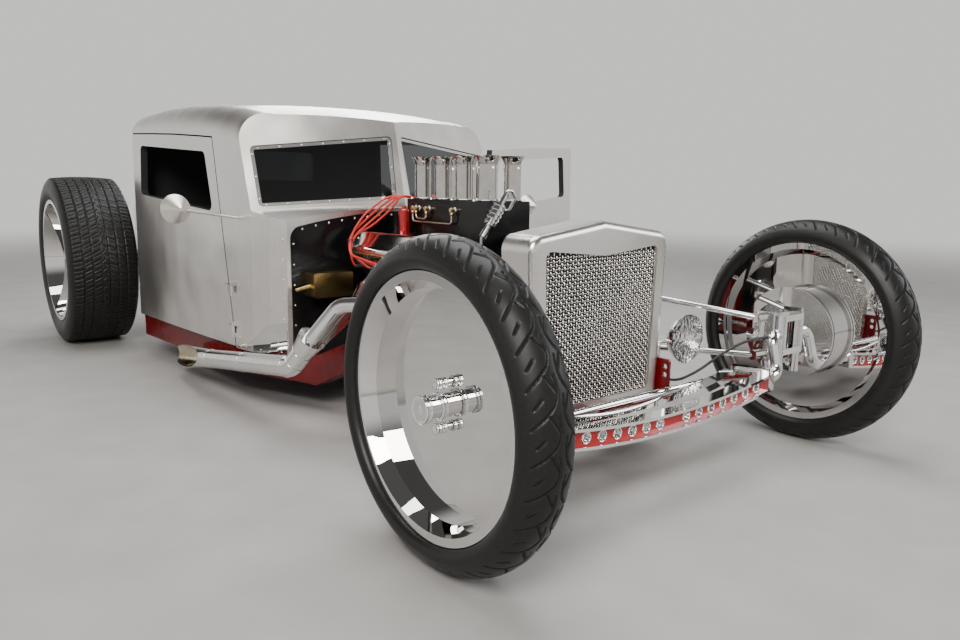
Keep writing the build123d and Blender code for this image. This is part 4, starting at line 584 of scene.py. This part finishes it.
def tyre(name, node, body, finish, around, pitches, marks, depth, **section):
    """A tyre with its tread cut in, the far half half a pitch on, over its plain solid."""
    low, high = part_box(node)
    centre = (Vector(low) + Vector(high)) / 2
    radius = (high[2] - low[2]) / 2 / MM
    half = (high[0] - low[0]) / 2 / MM
    outward = math.copysign(1, centre.x)
    profile = tyre_profile(radius, half, **section)
    columns = len(profile)
    axial = profile[:, 0]
    steps = np.hypot(*np.diff(profile, axis=0).T)
    reach = np.concatenate(([0], np.cumsum(steps)))
    reach -= reach[-1] / 2
    angles = np.arange(around) * 2 * math.pi / around
    pitch = 2 * math.pi * radius / pitches
    along = (angles * radius)[:, None] % pitch
    across = -reach[None, :] + np.zeros((around, 1))
    along = along + np.zeros((1, columns))
    along = np.where(across < 0, (along + pitch / 2) % pitch, along)
    across = np.abs(across)
    cut = groove_depth(across, along, pitch, marks, depth)
    r = (profile[:, 1][None, :] - cut) * MM
    points = np.stack((
        centre.x + outward * axial[None, :] * MM + 0 * r,
        centre.y + r * np.cos(angles)[:, None],
        centre.z + r * np.sin(angles)[:, None],
    ), axis=2).reshape(-1, 3)
    faces = grid_faces(around, columns, wrap_rows=True)
    if outward < 0:
        faces = [face[::-1] for face in faces]
    rubber, groove = finish
    piece = mesh_piece(name, points, faces, rubber, body)
    piece.data.materials.append(groove)
    # Faces cut deeper than a share of the depth get the darker groove rubber: painted shade in the recesses
    sunk = cut.reshape(-1) > GROOVE_SHARE * depth
    deep = sunk[np.array(faces)].sum(axis=1) >= 3
    piece.data.polygons.foreach_set("material_index", deep.astype(np.int32))
    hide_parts(node)


FRONT_PITCHES = 31
REAR_PITCHES = 62
REAR_TYRE_R = 427
REAR_PITCH = 2 * math.pi * REAR_TYRE_R / REAR_PITCHES
# Bars of a front tread pitch: across and along of the start and the end, and the width
FRONT_MARKS = (
    (8, -30, 5.5, -14, 2.4),
    (5.5, -14, 5, 0, 3),
    (5, 0, 8, 13, 3.6),
    (8, 13, 14, 25, 3.8),
    (14, 25, 34, 45, 4),
    (34, 45, 62, 66, 4),
    (24, -30, 6, 0, 4.2),
    (37, 11, 53, 27, 3.6),
)
# Bars of a rear tread pitch, with grooves that run right round
REAR_MARKS = (
    (18, -5, 18, REAR_PITCH + 5, 4),
    (56, -5, 56, REAR_PITCH + 5, 5),
    (96, -5, 96, REAR_PITCH + 5, 5),
    (0, 8, 16, 20, 2.4),
    (20, 6, 54, 24, 3),
    (24, 28, 50, 40, 1.8),
    (60, 10, 93, 26, 3),
    (64, 30, 90, 42, 1.8),
    (100, 12, 142, 20, 5),
    (104, 33, 142, 41, 2.4),
)


def tyres(finishes):
    finish = (finishes["rubber"], finishes["groove"])
    for side in ("left", "right"):
        tyre(
            f"tread_front_{side}", f"tyre_front_{side}", f"wheel_front_{side}", finish,
            around=33 * FRONT_PITCHES, pitches=FRONT_PITCHES, marks=FRONT_MARKS, depth=3.4,
            lip_r=295, bead_half=41.7, shoulder_half=61, shoulder_r=331, columns=66,
        )
        tyre(
            f"tread_rear_{side}", f"tyre_rear_{side}", f"wheel_rear_{side}", finish,
            around=13 * REAR_PITCHES, pitches=REAR_PITCHES, marks=REAR_MARKS, depth=5.0,
            lip_r=309, bead_half=143.2, shoulder_half=138, shoulder_r=419, columns=90,
        )


# Woven grille, in millimetres

MESH_PITCH = 11.0
MESH_WIRE_R = 2.0
MESH_CRIMP = 3.4
MESH_STEPS = 3.5
MESH_SIDES = 5
GRILLE_TAPER = 14
GRILLE_DIP = 23
# Where the wire's painted shade starts and where it is full, in millimetres from the grille's middle, and the
# shade's colour
SHADE_FROM, SHADE_TO = -3.2, 0.2
SHADED = (0.035, 0.028, 0.024)


def shade_wire(finish, y):
    """Leave the knuckles bright ahead of a depth, and darken the wire behind it with painted shade."""
    tree = finish.node_tree
    shader = tree.nodes["Principled BSDF"]
    bright = shader.inputs["Base Color"].links[0].from_socket
    place = add(tree, "ShaderNodeTexCoord")
    parts = add(tree, "ShaderNodeSeparateXYZ", {"Vector": place.outputs["Object"]})
    shade = eased(tree, parts.outputs["Y"], y + SHADE_FROM * MM, y + SHADE_TO * MM)
    tree.links.new(blended(tree, shade, bright, (*SHADED, 1)), shader.inputs["Base Color"])
    return finish


def woven_grille(finishes):
    """Crimped wires that pass over and under each other inside the radiator's opening."""
    low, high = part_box("grille")
    foot, top = low[2] / MM, high[2] / MM
    half_top = high[0] / MM
    half_foot = half_top - GRILLE_TAPER
    y = (low[1] + high[1]) / 2
    wire, swing = MESH_WIRE_R * MM, MESH_CRIMP * MM

    def half_at(z):
        return half_foot + (half_top - half_foot) * (z - foot) / (top - foot)

    def top_at(x):
        return top - GRILLE_DIP * (1 - min(abs(x) / half_top, 1))

    def foot_at(x):
        return foot + max(abs(x) - half_foot, 0) * (top - foot) / (half_top - half_foot)

    wires = Bundle()
    reach = int(half_top // MESH_PITCH)
    for n in range(-reach, reach + 1):
        x = n * MESH_PITCH
        start, end = foot_at(x), top_at(x)
        count = max(int((end - start) / MESH_PITCH * MESH_STEPS), 2)
        heights = np.linspace(start, end, count + 1)
        sway = y + swing * np.cos(math.pi * ((heights - foot) / MESH_PITCH + n))
        wires.tube(np.stack((np.full_like(heights, x) * MM, sway, heights * MM), axis=1), wire, MESH_SIDES)
    for n in range(int((top - foot) / MESH_PITCH) + 1):
        z = foot + n * MESH_PITCH
        if z > top - GRILLE_DIP:
            continue
        reach = half_at(z)
        count = int(2 * reach / MESH_PITCH * MESH_STEPS)
        widths = np.linspace(-reach, reach, count + 1)
        sway = y - swing * np.cos(math.pi * (widths / MESH_PITCH + n))
        wires.tube(np.stack((widths * MM, sway, np.full_like(widths, z) * MM), axis=1), wire, MESH_SIDES)
    finish = shade_wire(finishes["mesh_wire"], y)
    piece = wires.piece("grille_mesh", finish, "chassis", "aluminium_polished")
    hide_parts("grille")


# Rivets and trim of the cab, in millimetres

SCREEN_FOOT = Vector((0, -296, 740))
SCREEN_SWEEP = math.radians(17)
SCREEN_RAKE = math.radians(13.6)
PANE_CORNERS = ((34, 40), (568, 8), (590, 238), (40, 294))
BAND_OUT = -6.0
CAB_PLAN = ((-262, 505), (-200, 546), (-120, 582), (-30, 599), (90, 613))
CAB_FOOT_Z = 195
CAB_LEAN = 14 / (1026 - CAB_FOOT_Z)

# A rivet's radius and height on the screen's bands, the firewall's top and sides and the cab's edge
BAND_RIVET = (4.6 * MM, 2.6 * MM)
TOP_RIVET = (4.6 * MM, 3 * MM)
SIDE_RIVET = (4 * MM, 2.6 * MM)
EDGE_RIVET = (4.4 * MM, 2.4 * MM)
BAND_RIVET_PITCH = 84
BAND_RIVET_END = 30
BAND_RIVET_IN = 7
PROW = math.radians(5.5)
FIREWALL_FRONT_Y = -314
FIREWALL_RIVET_Z = 720
COWL_DROP = 3900
SIDE_RIVET_X = 474
EDGE_RIVET_Y = -247
TOP_RIVETS_X = range(22, 490, 52)
SIDE_RIVETS_Z = range(236, 692, 76)
EDGE_RIVETS_Z = range(262, 706, 74)
EDGE_FACING = (0.834, -0.552, 0)

PLATE_COLUMNS = (-259, -240, -220, -200, -180, -160, -140, -120, -100, -80, -62, -46, -30, -16, -8)
PLATE_ROWS = 8
PLATE_FOOT_Z = 199
PLATE_SKINS = (2.4, 0.4)
PLATE_LOW, PLATE_RISE, PLATE_WAVE = 205, 118, 26
PLATE_SCREW = (3.6 * MM, 2 * MM)
PLATE_SCREWS_Y = range(-238, 14, 42)
PLATE_SCREW_Z = 210
PLATE_FACING = (0.92, -0.39, 0)


def screen_frame():
    """Directions along the left pane's sill, up the pane and out of it."""
    level = Vector((math.cos(SCREEN_SWEEP), math.sin(SCREEN_SWEEP), 0))
    rise = Vector((0, math.sin(SCREEN_RAKE), math.cos(SCREEN_RAKE)))
    outward = level.cross(rise).normalized()
    return level, outward.cross(level), outward


def cab_side(y, z):
    """Half width of the cab's side skin, in millimetres."""
    for (y0, w0), (y1, w1) in zip(CAB_PLAN, CAB_PLAN[1:]):
        if y <= y1:
            break
    return w0 + (w1 - w0) * (y - y0) / (y1 - y0) - CAB_LEAN * (z - CAB_FOOT_Z)


def flipped(point, side):
    return Vector((side * point[0], point[1], point[2]))


def cab_rivets(finishes):
    """Rows of small heads on the screen's bands, round the firewall and down the cab's front edges."""
    level, up, outward = screen_frame()
    heads = Bundle()
    middle = Vector((sum(u for u, _ in PANE_CORNERS) / 4, sum(v for _, v in PANE_CORNERS) / 4))
    for side in (1, -1):
        for n, (u0, v0) in enumerate(PANE_CORNERS):
            start, end = Vector((u0, v0)), Vector(PANE_CORNERS[(n + 1) % 4])
            run = (end - start).normalized()
            inward = Vector((-run.y, run.x))
            if inward.dot(middle - start) < 0:
                inward = -inward
            length = (end - start).length - 2 * BAND_RIVET_END
            count = max(round(length / BAND_RIVET_PITCH), 2)
            for k in range(count + 1):
                u, v = start + run * (BAND_RIVET_END + length * k / count) + inward * BAND_RIVET_IN
                place = SCREEN_FOOT + level * u + up * v + outward * BAND_OUT
                heads.dome(flipped(place, side) * MM, flipped(outward, side), *BAND_RIVET)
        slope = math.tan(PROW)
        face = flipped((math.sin(PROW), -math.cos(PROW), 0), side)
        for x in TOP_RIVETS_X:
            place = (x, FIREWALL_FRONT_Y + x * slope, FIREWALL_RIVET_Z - x * x / COWL_DROP)
            heads.dome(flipped(place, side) * MM, face, *TOP_RIVET)
        for z in SIDE_RIVETS_Z:
            place = (SIDE_RIVET_X, FIREWALL_FRONT_Y + SIDE_RIVET_X * slope, z)
            heads.dome(flipped(place, side) * MM, face, *SIDE_RIVET)
        normal = flipped(EDGE_FACING, side)
        for z in EDGE_RIVETS_Z:
            place = (cab_side(EDGE_RIVET_Y, z), EDGE_RIVET_Y, z)
            heads.dome(flipped(place, side) * MM, normal, *EDGE_RIVET)
    heads.piece("cab_rivets", finishes["polished"], "chassis", "aluminium_polished")


def plate_top(y):
    """Height of a corner plate's wavy upper edge."""
    t = (y - PLATE_COLUMNS[0]) / (PLATE_COLUMNS[-1] - PLATE_COLUMNS[0])
    return PLATE_LOW + PLATE_RISE * (1 - t) ** 1.4 + PLATE_WAVE * math.sin(math.pi * min(t * 1.7, 1))


def corner_plates(finishes):
    """Polished plate with a wavy top over each lower front corner of the cab, and its screws."""
    screws = Bundle()
    rows, columns = PLATE_ROWS, len(PLATE_COLUMNS)
    for side, name in ((1, "left"), (-1, "right")):
        plate = Bundle()
        for skin in PLATE_SKINS:
            points = []
            for y in PLATE_COLUMNS:
                height = plate_top(y) - PLATE_FOOT_Z
                for r in range(rows):
                    z = PLATE_FOOT_Z + height * r / (rows - 1)
                    points.append(flipped((cab_side(y, z) + skin, y - 0.6 * skin, z), side) * MM)
            plate.take(points, grid_faces(columns, rows))
        count = columns * rows
        rim = list(range(rows)) + [c * rows + rows - 1 for c in range(1, columns)]
        rim += [(columns - 1) * rows + r for r in range(rows - 2, -1, -1)]
        rim += [c * rows for c in range(columns - 2, 0, -1)]
        plate.faces += [(a, b, count + b, count + a) for a, b in zip(rim, rim[1:] + rim[:1])]
        finish = finishes["mirror_disc"]
        plate.piece(f"corner_plate_{name}", finish, "chassis", "aluminium_polished", smooth=False)
        normal = flipped(PLATE_FACING, side)
        for y in PLATE_SCREWS_Y:
            place = (cab_side(y, PLATE_SCREW_Z) + PLATE_SKINS[0], y - 1.4, PLATE_SCREW_Z)
            screws.dome(flipped(place, side) * MM, normal, *PLATE_SCREW)
    screws.piece("corner_screws", finishes["polished"], "chassis", "aluminium_polished")


# Front axle and hubs, in millimetres; profiles are along and radius

AXLE_WEB_Y = -1634
AXLE_FOOT_Z = 206
AXLE_BOW_R = 2900
AXLE_HOLES_SIDE = 7
AXLE_HOLE_PITCH = 57.8
GROMMET = ((6.5, 12.6), (9, 13.2), (9.2, 15.2), (7.6, 16.6), (6, 16.8))
GROMMET_BORE = ((-7, 12.7), (7, 12.7))

FRONT_HUB = (749, -1592, 370)
REAR_HUB = (813, 1535, 427)
HUB_CAP = (
    (46, 27), (46, 30.5), (48, 31.2), (50, 30.5), (50, 27.3), (54, 27.3), (54, 30), (57, 31.6),
    (61.5, 31.6), (63, 30), (62, 25), (59, 23), (58.5, 12), (61, 9), (61.5, 0),
)
HUB_STEP = ((6, 27), (6, 31), (8, 32), (18, 32), (20, 31), (20, 27))
LUG_NUT = (
    (8, 8), (8, 12), (9.5, 12.6), (15, 12.6), (16.5, 12), (16.5, 8.3), (21, 8.3), (21, 12),
    (22.5, 12.8), (33, 12.8), (35, 11.6), (35.5, 7), (33.5, 6), (33.5, 0),
)
LUG_LIFT = 50
LUG_BACK = 13
LUG_FLUTES, LUG_FLUTE_DEPTH = 12, 0.05
REAR_RING_OUT, REAR_RING_R, REAR_RING_WIRE = 30, 41, 4
REAR_BOLTS, REAR_BOLT_CIRCLE_R, REAR_BOLT_BACK = 5, 72, 20
REAR_BOLT = ((0, 11), (14, 11), (18, 9), (19, 0))


def axle_rings(finishes):
    """Bright grommets pressed into the beam's holes."""
    rings = Bundle()
    for n in range(-AXLE_HOLES_SIDE, AXLE_HOLES_SIDE + 1):
        if n == 0:
            continue
        x = n * AXLE_HOLE_PITCH
        z = AXLE_FOOT_Z + AXLE_BOW_R - math.sqrt(AXLE_BOW_R**2 - x * x)
        for facing in (1, -1):
            rings.turned((x, AXLE_WEB_Y, z), (0, facing, 0), GROMMET, 20)
        rings.turned((x, AXLE_WEB_Y, z), (0, 1, 0), GROMMET_BORE, 20)
    rings.piece("axle_grommets", finishes["chrome"], "chassis", "chrome")


def hubs(finishes):
    """Rolled rings on each hub and fluted nuts above and below it."""
    for side, name in ((1, "left"), (-1, "right")):
        outward = (side, 0, 0)
        trim = Bundle()
        x, y, z = FRONT_HUB
        trim.turned((side * x, y, z), outward, HUB_CAP, 40)
        trim.turned((side * x, y, z), outward, HUB_STEP, 40)
        for lift in (-LUG_LIFT, LUG_LIFT):
            foot = (side * (x - LUG_BACK), y, z + lift)
            trim.turned(foot, outward, LUG_NUT, 48, LUG_FLUTES, LUG_FLUTE_DEPTH)
        trim.piece(f"hub_trim_front_{name}", finishes["chrome"], f"wheel_front_{name}", "chrome")
        bolts = Bundle()
        x, y, z = REAR_HUB
        bolts.ring((side * (x + REAR_RING_OUT), y, z), outward, REAR_RING_R, REAR_RING_WIRE, 40)
        for n in range(REAR_BOLTS):
            a = 2 * math.pi * n / REAR_BOLTS
            around = (REAR_BOLT_CIRCLE_R * math.sin(a), REAR_BOLT_CIRCLE_R * math.cos(a))
            bolts.turned((side * (x - REAR_BOLT_BACK), y + around[0], z + around[1]), outward, REAR_BOLT, 6)
        bolts.piece(f"hub_trim_rear_{name}", finishes["chrome"], f"wheel_rear_{name}", "chrome")


# Side pipes, in millimetres

TIP = Vector((736, 465, 101))
TIP_LENGTH = 430
TIP_R = 56
TIP_TAPER = 20
TIP_RIM_R = 54.5
TIP_LINING_R = 52.3
SLASH = Vector((0.985, 0.12, 0.12)).normalized()
PIPE_CORNER = Vector((628, -560, 232))
PIPE_BEND_R = 62
COLLECTOR = Vector((596, -645, 335))
BEAD_R, BEAD_WIRE = 36.2, 1.3
TIP_RIM_WIRE = 1.9
# How far along the pipe the welds lie from the collector, the bend and the tip's root
COLLECTOR_WELD, PIPE_WELD, TIP_WELD = 61, 330, 4
LINING_SIDES, LINING_ROWS = 44, 14


def pipe_trim(finishes):
    """Weld beads on the side pipes and the heat-coloured inside of their tips."""
    run = (TIP - PIPE_CORNER).normalized()
    fall = (PIPE_CORNER - COLLECTOR).normalized()
    tangent = PIPE_BEND_R * math.tan(fall.angle(run) / 2)
    cut_at = TIP - run * (TIP_LENGTH / 2)
    welds = (
        (PIPE_CORNER - fall * tangent, fall),
        (PIPE_CORNER + run * tangent, run),
        (TIP - run * (TIP_LENGTH + TIP_WELD), run),
        (COLLECTOR + fall * COLLECTOR_WELD, fall),
        (PIPE_CORNER + run * PIPE_WELD, run),
    )
    sides, rows = LINING_SIDES, LINING_ROWS
    for side, name in ((1, "left"), (-1, "right")):
        beads = Bundle()
        for place, axis in welds:
            beads.ring(flipped(place, side), flipped(axis, side), BEAD_R, BEAD_WIRE)
        points = []
        rim = []
        for away in spokes(run, sides):
            # The way back from the tip's end to the slash cut hangs on the cone's radius there
            back = 0.0
            for _ in range(30):
                radius = TIP_R - TIP_TAPER * min(max(back, 0), TIP_LENGTH) / TIP_LENGTH
                back = (TIP + away * radius - cut_at).dot(SLASH) / run.dot(SLASH)
            back = min(max(back, 0), TIP_LENGTH - 12)
            rim.append(TIP - run * back + away * (TIP_RIM_R - TIP_TAPER * back / TIP_LENGTH))
            for r in range(rows):
                here = TIP_LENGTH - 4 + (back + 1.5 - TIP_LENGTH + 4) * r / (rows - 1)
                skin = away * (TIP_LINING_R - TIP_TAPER * here / TIP_LENGTH)
                points.append(flipped(TIP - run * here + skin, side) * MM)
        faces = [
            (n * rows + r, n * rows + r + 1, (n + 1) % sides * rows + r + 1, (n + 1) % sides * rows + r)
            for n in range(sides) for r in range(rows - 1)
        ]
        if side > 0:
            faces = [face[::-1] for face in faces]
        lining = finishes["gold_bore"]
        mesh_piece(f"tip_lining_{name}", points, faces, lining, "chassis")
        beads.tube([flipped(place, side) * MM for place in rim + rim[:1]], TIP_RIM_WIRE * MM)
        beads.piece(f"weld_beads_{name}", finishes["polished"], "chassis", "aluminium_polished")


# Engine trim, in millimetres; profiles are along and radius

# Where the plugs are along the car, and the sides and heights of their foot and of the boot's end
PLUG_PLACES = (-430, -545, -670, -795)
PLUG_X, PLUG_Z = 270, 540
BOOT_X, BOOT_Z = 311, 541
BOOT_SPREAD = 0.93
WIRE_TIE = Vector((318, -416, 632))
TIE_R, TIE_WIRE = 10.4, 2.6
PLUG_BOOT = ((0, 4.2), (1, 5.6), (10, 6.4), (12, 7.6), (30, 8), (34, 9.2), (40, 9.2), (42, 7))
NOZZLE_PLACES = (-532, -597, -510, -752)
NOZZLE_X, NOZZLE_Z = 109, 752
NOZZLE_CAP = ((-7, 0), (-7, 6.5), (8, 6.5), (8, 5))
NOZZLE_NUT = ((8, 4.5), (8, 8), (19, 8), (19, 4.5))
NOZZLE_BOSS = ((0, 10.5), (3, 10.5), (4, 9.5), (4, 0))
MANIFOLD_HALF = 95
STACK_ROWS, STACK_FIRST_Y, STACK_PITCH = 4, -877, 125
STACK_ROW_X, STACK_FOOT_Z = 56, 785
STACK_RING_R, STACK_RING_WIRE, STACK_RING_LIFT = 32.6, 2.6, 2.5
STACK_BOLT = ((-1, 5.5), (5, 5.5), (6, 4.5), (6, 0))
STACK_BOLT_ACROSS, STACK_BOLT_ALONG = 33, 28
# Height and radius of the crank's and the pump's pulleys, and the belt's place
CRANK_PULLEY = (360, 78)
PUMP_PULLEY = (550, 62)
BELT_Y = -1018
BELT_WIRE = 5.5


def plug_boots(finishes):
    """Boots on the plug leads and two ties round each bunch of them."""
    boots = Bundle()
    for side in (1, -1):
        for y_plug in PLUG_PLACES:
            start = Vector((BOOT_X, WIRE_TIE.y + BOOT_SPREAD * (y_plug - WIRE_TIE.y), BOOT_Z))
            end = Vector((PLUG_X, y_plug, PLUG_Z))
            axis = (end - start).normalized()
            boots.turned(flipped(start, side), flipped(axis, side), PLUG_BOOT, 14)
        for lift in (-4, 4):
            turns = [2 * math.pi * n / 24 for n in range(25)]
            loop = [WIRE_TIE + Vector((TIE_R * math.cos(a), TIE_R * math.sin(a), lift)) for a in turns]
            boots.tube([flipped(place, side) * MM for place in loop], TIE_WIRE * MM)
    boots.piece("plug_boots", finishes["hose"], "chassis", "cap_plastic")


def manifold_trim(finishes):
    """Nozzle fittings, and the rings and bolts at the feet of the stacks."""
    brass = Bundle()
    bolts = Bundle()
    for side in (1, -1):
        for y in NOZZLE_PLACES:
            place = (side * NOZZLE_X, y, NOZZLE_Z)
            brass.turned(place, (0, 0, -1), NOZZLE_CAP, 16)
            brass.turned(place, (0, 0, -1), NOZZLE_NUT, 6)
            bolts.turned((side * MANIFOLD_HALF, y, NOZZLE_Z), (side, 0, 0), NOZZLE_BOSS)
        for n in range(STACK_ROWS):
            x, y = side * STACK_ROW_X, STACK_FIRST_Y + STACK_PITCH * n
            for across in (-STACK_BOLT_ACROSS, STACK_BOLT_ACROSS):
                foot = (x + across, y + STACK_BOLT_ALONG, STACK_FOOT_Z)
                bolts.turned(foot, (0, 0, 1), STACK_BOLT, 6)
            foot = (x, y, STACK_FOOT_Z + STACK_RING_LIFT)
            bolts.ring(foot, (0, 0, 1), STACK_RING_R, STACK_RING_WIRE, 28)
    brass.piece("nozzle_fittings", finishes["brass"], "chassis", "brass")
    bolts.piece("manifold_bolts", finishes["polished"], "chassis", "aluminium_polished")


def fan_belt(finishes):
    """A round belt over both pulleys."""
    low, high = CRANK_PULLEY, PUMP_PULLEY
    lean = math.asin((low[1] - high[1]) / (high[0] - low[0]))
    path = []
    for (centre, radius), first, last in (
        (high, lean, math.pi - lean), (low, math.pi - lean, 2 * math.pi + lean),
    ):
        for n in range(17):
            a = first + (last - first) * n / 16
            reach = radius - 1
            path.append(Vector((math.cos(a) * reach, BELT_Y, centre + math.sin(a) * reach)) * MM)
    belt = Bundle()
    belt.tube(path + path[:1], BELT_WIRE * MM, 8)
    belt.piece("fan_belt", finishes["hose"], "chassis", "hose_rubber")


# Seats, in millimetres

SEAT_X = 330
SEAT_HALF = 176
CUSHION = {"front": 408, "rear": 772, "foot": 296, "top": 356}
BACK = {"foot": (790, 372), "top": (868, 735), "thick": 62}
BACK_SHIFT = 22
PAD_GAP = 4
PAD_VOXEL = 10
PAD_SWELL = 12
CLOTH_PRESSURE = 4
CLOTH_FRAMES = 20
# Blocks under a seat: front, rear, foot and top
SEAT_BLOCKS = ((420, 850, 206, 286), (846, 900, 206, 520))
BLOCK_FACES = ((0, 1, 3, 2), (4, 6, 7, 5), (0, 4, 5, 1), (2, 3, 7, 6), (0, 2, 6, 4), (1, 5, 7, 3))
BLOCK_EDGE_R = 10
# Sewn lines: pitch, width and depth, and how far they keep from the pad's edges
CHANNEL_PITCH = 46
SEAM_WIDTH = 5.5
CHANNEL_DEPTH, BORDER_DEPTH = 7, 6
CHANNEL_EDGES = (42, 34)
BORDER_EDGES = (38, 30)


def cushion_mesh(name, centre, across, along, thick):
    """A block with rounded edges from its middle and its three half lengths in millimetres."""
    mesh = bpy.data.meshes.new(name)
    form = bmesh.new()
    bmesh.ops.create_cube(form, size=2)
    bmesh.ops.bevel(form, geom=form.edges[:], offset=0.16, segments=3, profile=0.5, affect="EDGES")
    for vertex in form.verts:
        u, v, w = vertex.co
        vertex.co = (centre + across * u + along * v + thick * w) * MM
    form.to_mesh(mesh)
    form.free()
    return mesh


def pad_rows(side, name):
    """One seat's cushion and back: piece name, middle and three half lengths."""
    x = side * SEAT_X
    y_mid = (CUSHION["front"] + CUSHION["rear"]) / 2
    z_mid = (CUSHION["foot"] + CUSHION["top"]) / 2
    length = (CUSHION["rear"] - CUSHION["front"]) / 2 - 8
    wide = Vector((SEAT_HALF, 0, 0))
    foot = Vector((x, *BACK["foot"]))
    top = Vector((x, *BACK["top"]))
    rise = (top - foot).normalized()
    front = Vector((side, 0, 0)).cross(rise) * side
    middle = (foot + top) / 2 - front * PAD_GAP
    return [
        (
            f"seat_cushion_{name}", Vector((x, y_mid, z_mid)), wide, Vector((0, length, 0)),
            Vector((0, 0, (CUSHION["top"] - CUSHION["foot"]) / 2 - PAD_GAP)),
        ),
        (
            f"seat_back_{name}", middle + Vector((0, BACK_SHIFT, 0)), wide, (top - foot) / 2,
            front * -(BACK["thick"] / 2 - PAD_GAP),
        ),
    ]


def seat_base(finishes):
    """The painted blocks that carry the pads."""
    base = Bundle()
    for side in (1, -1):
        for y_from, y_to, z_from, z_to in SEAT_BLOCKS:
            corners = [
                Vector((side * SEAT_X + dx, y, z)) * MM
                for z in (z_from, z_to) for y in (y_from, y_to) for dx in (-SEAT_HALF, SEAT_HALF)
            ]
            base.take(corners, BLOCK_FACES)
    rigid = base.piece("seat_base", finishes["black_paint"], "chassis", "leather_black", smooth=False)
    bevel = rigid.modifiers.new("edges", "BEVEL")
    bevel.width = BLOCK_EDGE_R * MM
    bevel.segments = 3
    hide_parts("seats")


def seats(finishes):
    """Two buckets of sewn leather: each cushion and back is blown up as cloth, then sewn into channels."""
    seat_base(finishes)
    soft = []
    for name, *sizes in pad_rows(1, "left") + pad_rows(-1, "right"):
        piece = bpy.data.objects.new(name, cushion_mesh(name, *sizes))
        bpy.context.collection.objects.link(piece)
        voxel = piece.modifiers.new("voxel", "REMESH")
        voxel.mode = "VOXEL"
        voxel.voxel_size = PAD_VOXEL * MM
        soft.append((piece, sizes))
    settle([piece for piece, _ in soft])
    for piece, sizes in soft:
        sew(piece, *sizes)
        piece.data.materials.append(finishes["leather"])
        rounded = piece.modifiers.new("smooth", "SUBSURF")
        rounded.levels = rounded.render_levels = 1
        piece.data.polygons.foreach_set("use_smooth", [True] * len(piece.data.polygons))
        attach(piece, "chassis")
        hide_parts("seats")


def applied(piece):
    """Swap a piece's mesh for what its modifiers make of it."""
    graph = bpy.context.evaluated_depsgraph_get()
    made = bpy.data.meshes.new_from_object(piece.evaluated_get(graph))
    piece.modifiers.clear()
    piece.data = made


def coordinates(mesh):
    flat = np.empty(len(mesh.vertices) * 3)
    mesh.vertices.foreach_get("co", flat)
    return flat.reshape(-1, 3)


def settle(pieces):
    """Blow all the pads up together as cloth, and cap how far each point moves."""
    for piece in pieces:
        applied(piece)
    before = [coordinates(piece.data) for piece in pieces]
    for piece in pieces:
        cloth = piece.modifiers.new("cloth", "CLOTH")
        cloth.settings.quality = 5
        cloth.settings.use_pressure = True
        cloth.settings.uniform_pressure_force = CLOTH_PRESSURE
        cloth.settings.effector_weights.gravity = 0
    for step in range(1, CLOTH_FRAMES + 1):
        bpy.context.scene.frame_set(step)
        bpy.context.view_layer.update()
    for piece in pieces:
        applied(piece)
    bpy.context.scene.frame_set(1)
    for piece, start in zip(pieces, before):
        moved = coordinates(piece.data) - start
        far = np.linalg.norm(moved, axis=1)[:, None]
        moved *= np.minimum(1, PAD_SWELL * MM / np.maximum(far, 1e-9))
        piece.data.vertices.foreach_set("co", (start + moved).ravel())
        piece.data.update()


def sew(piece, centre, across, along, thick):
    """Press sewn channels and a border seam into the pad's face."""
    points = coordinates(piece.data)
    local = points / MM - np.array(centre)
    u = local @ np.array(across.normalized())
    v = local @ np.array(along.normalized())
    w = local @ np.array(thick.normalized())
    wide, long = across.length, along.length
    face = np.clip((w / thick.length - 0.2) / 0.4, 0, 1)
    inside = (np.abs(u) < wide - CHANNEL_EDGES[0]) & (np.abs(v) < long - CHANNEL_EDGES[1])
    seam = CHANNEL_PITCH / 2 - np.abs((v + 500) % CHANNEL_PITCH - CHANNEL_PITCH / 2)
    depth = np.where(inside, CHANNEL_DEPTH * np.exp(-((seam / SEAM_WIDTH) ** 2)), 0)
    border = np.minimum(wide - BORDER_EDGES[0] - np.abs(u), long - BORDER_EDGES[1] - np.abs(v))
    depth = np.maximum(depth, BORDER_DEPTH * np.exp(-((border / SEAM_WIDTH) ** 2)))
    points -= (depth * face)[:, None] * np.array(thick.normalized()) * MM
    piece.data.vertices.foreach_set("co", points.ravel())
    piece.data.update()


def main():
    studio()
    finishes = make_finishes()
    dress_nodes(finishes)
    tyres(finishes)
    woven_grille(finishes)
    cab_rivets(finishes)
    corner_plates(finishes)
    axle_rings(finishes)
    hubs(finishes)
    pipe_trim(finishes)
    plug_boots(finishes)
    manifold_trim(finishes)
    fan_belt(finishes)
    seats(finishes)


main()
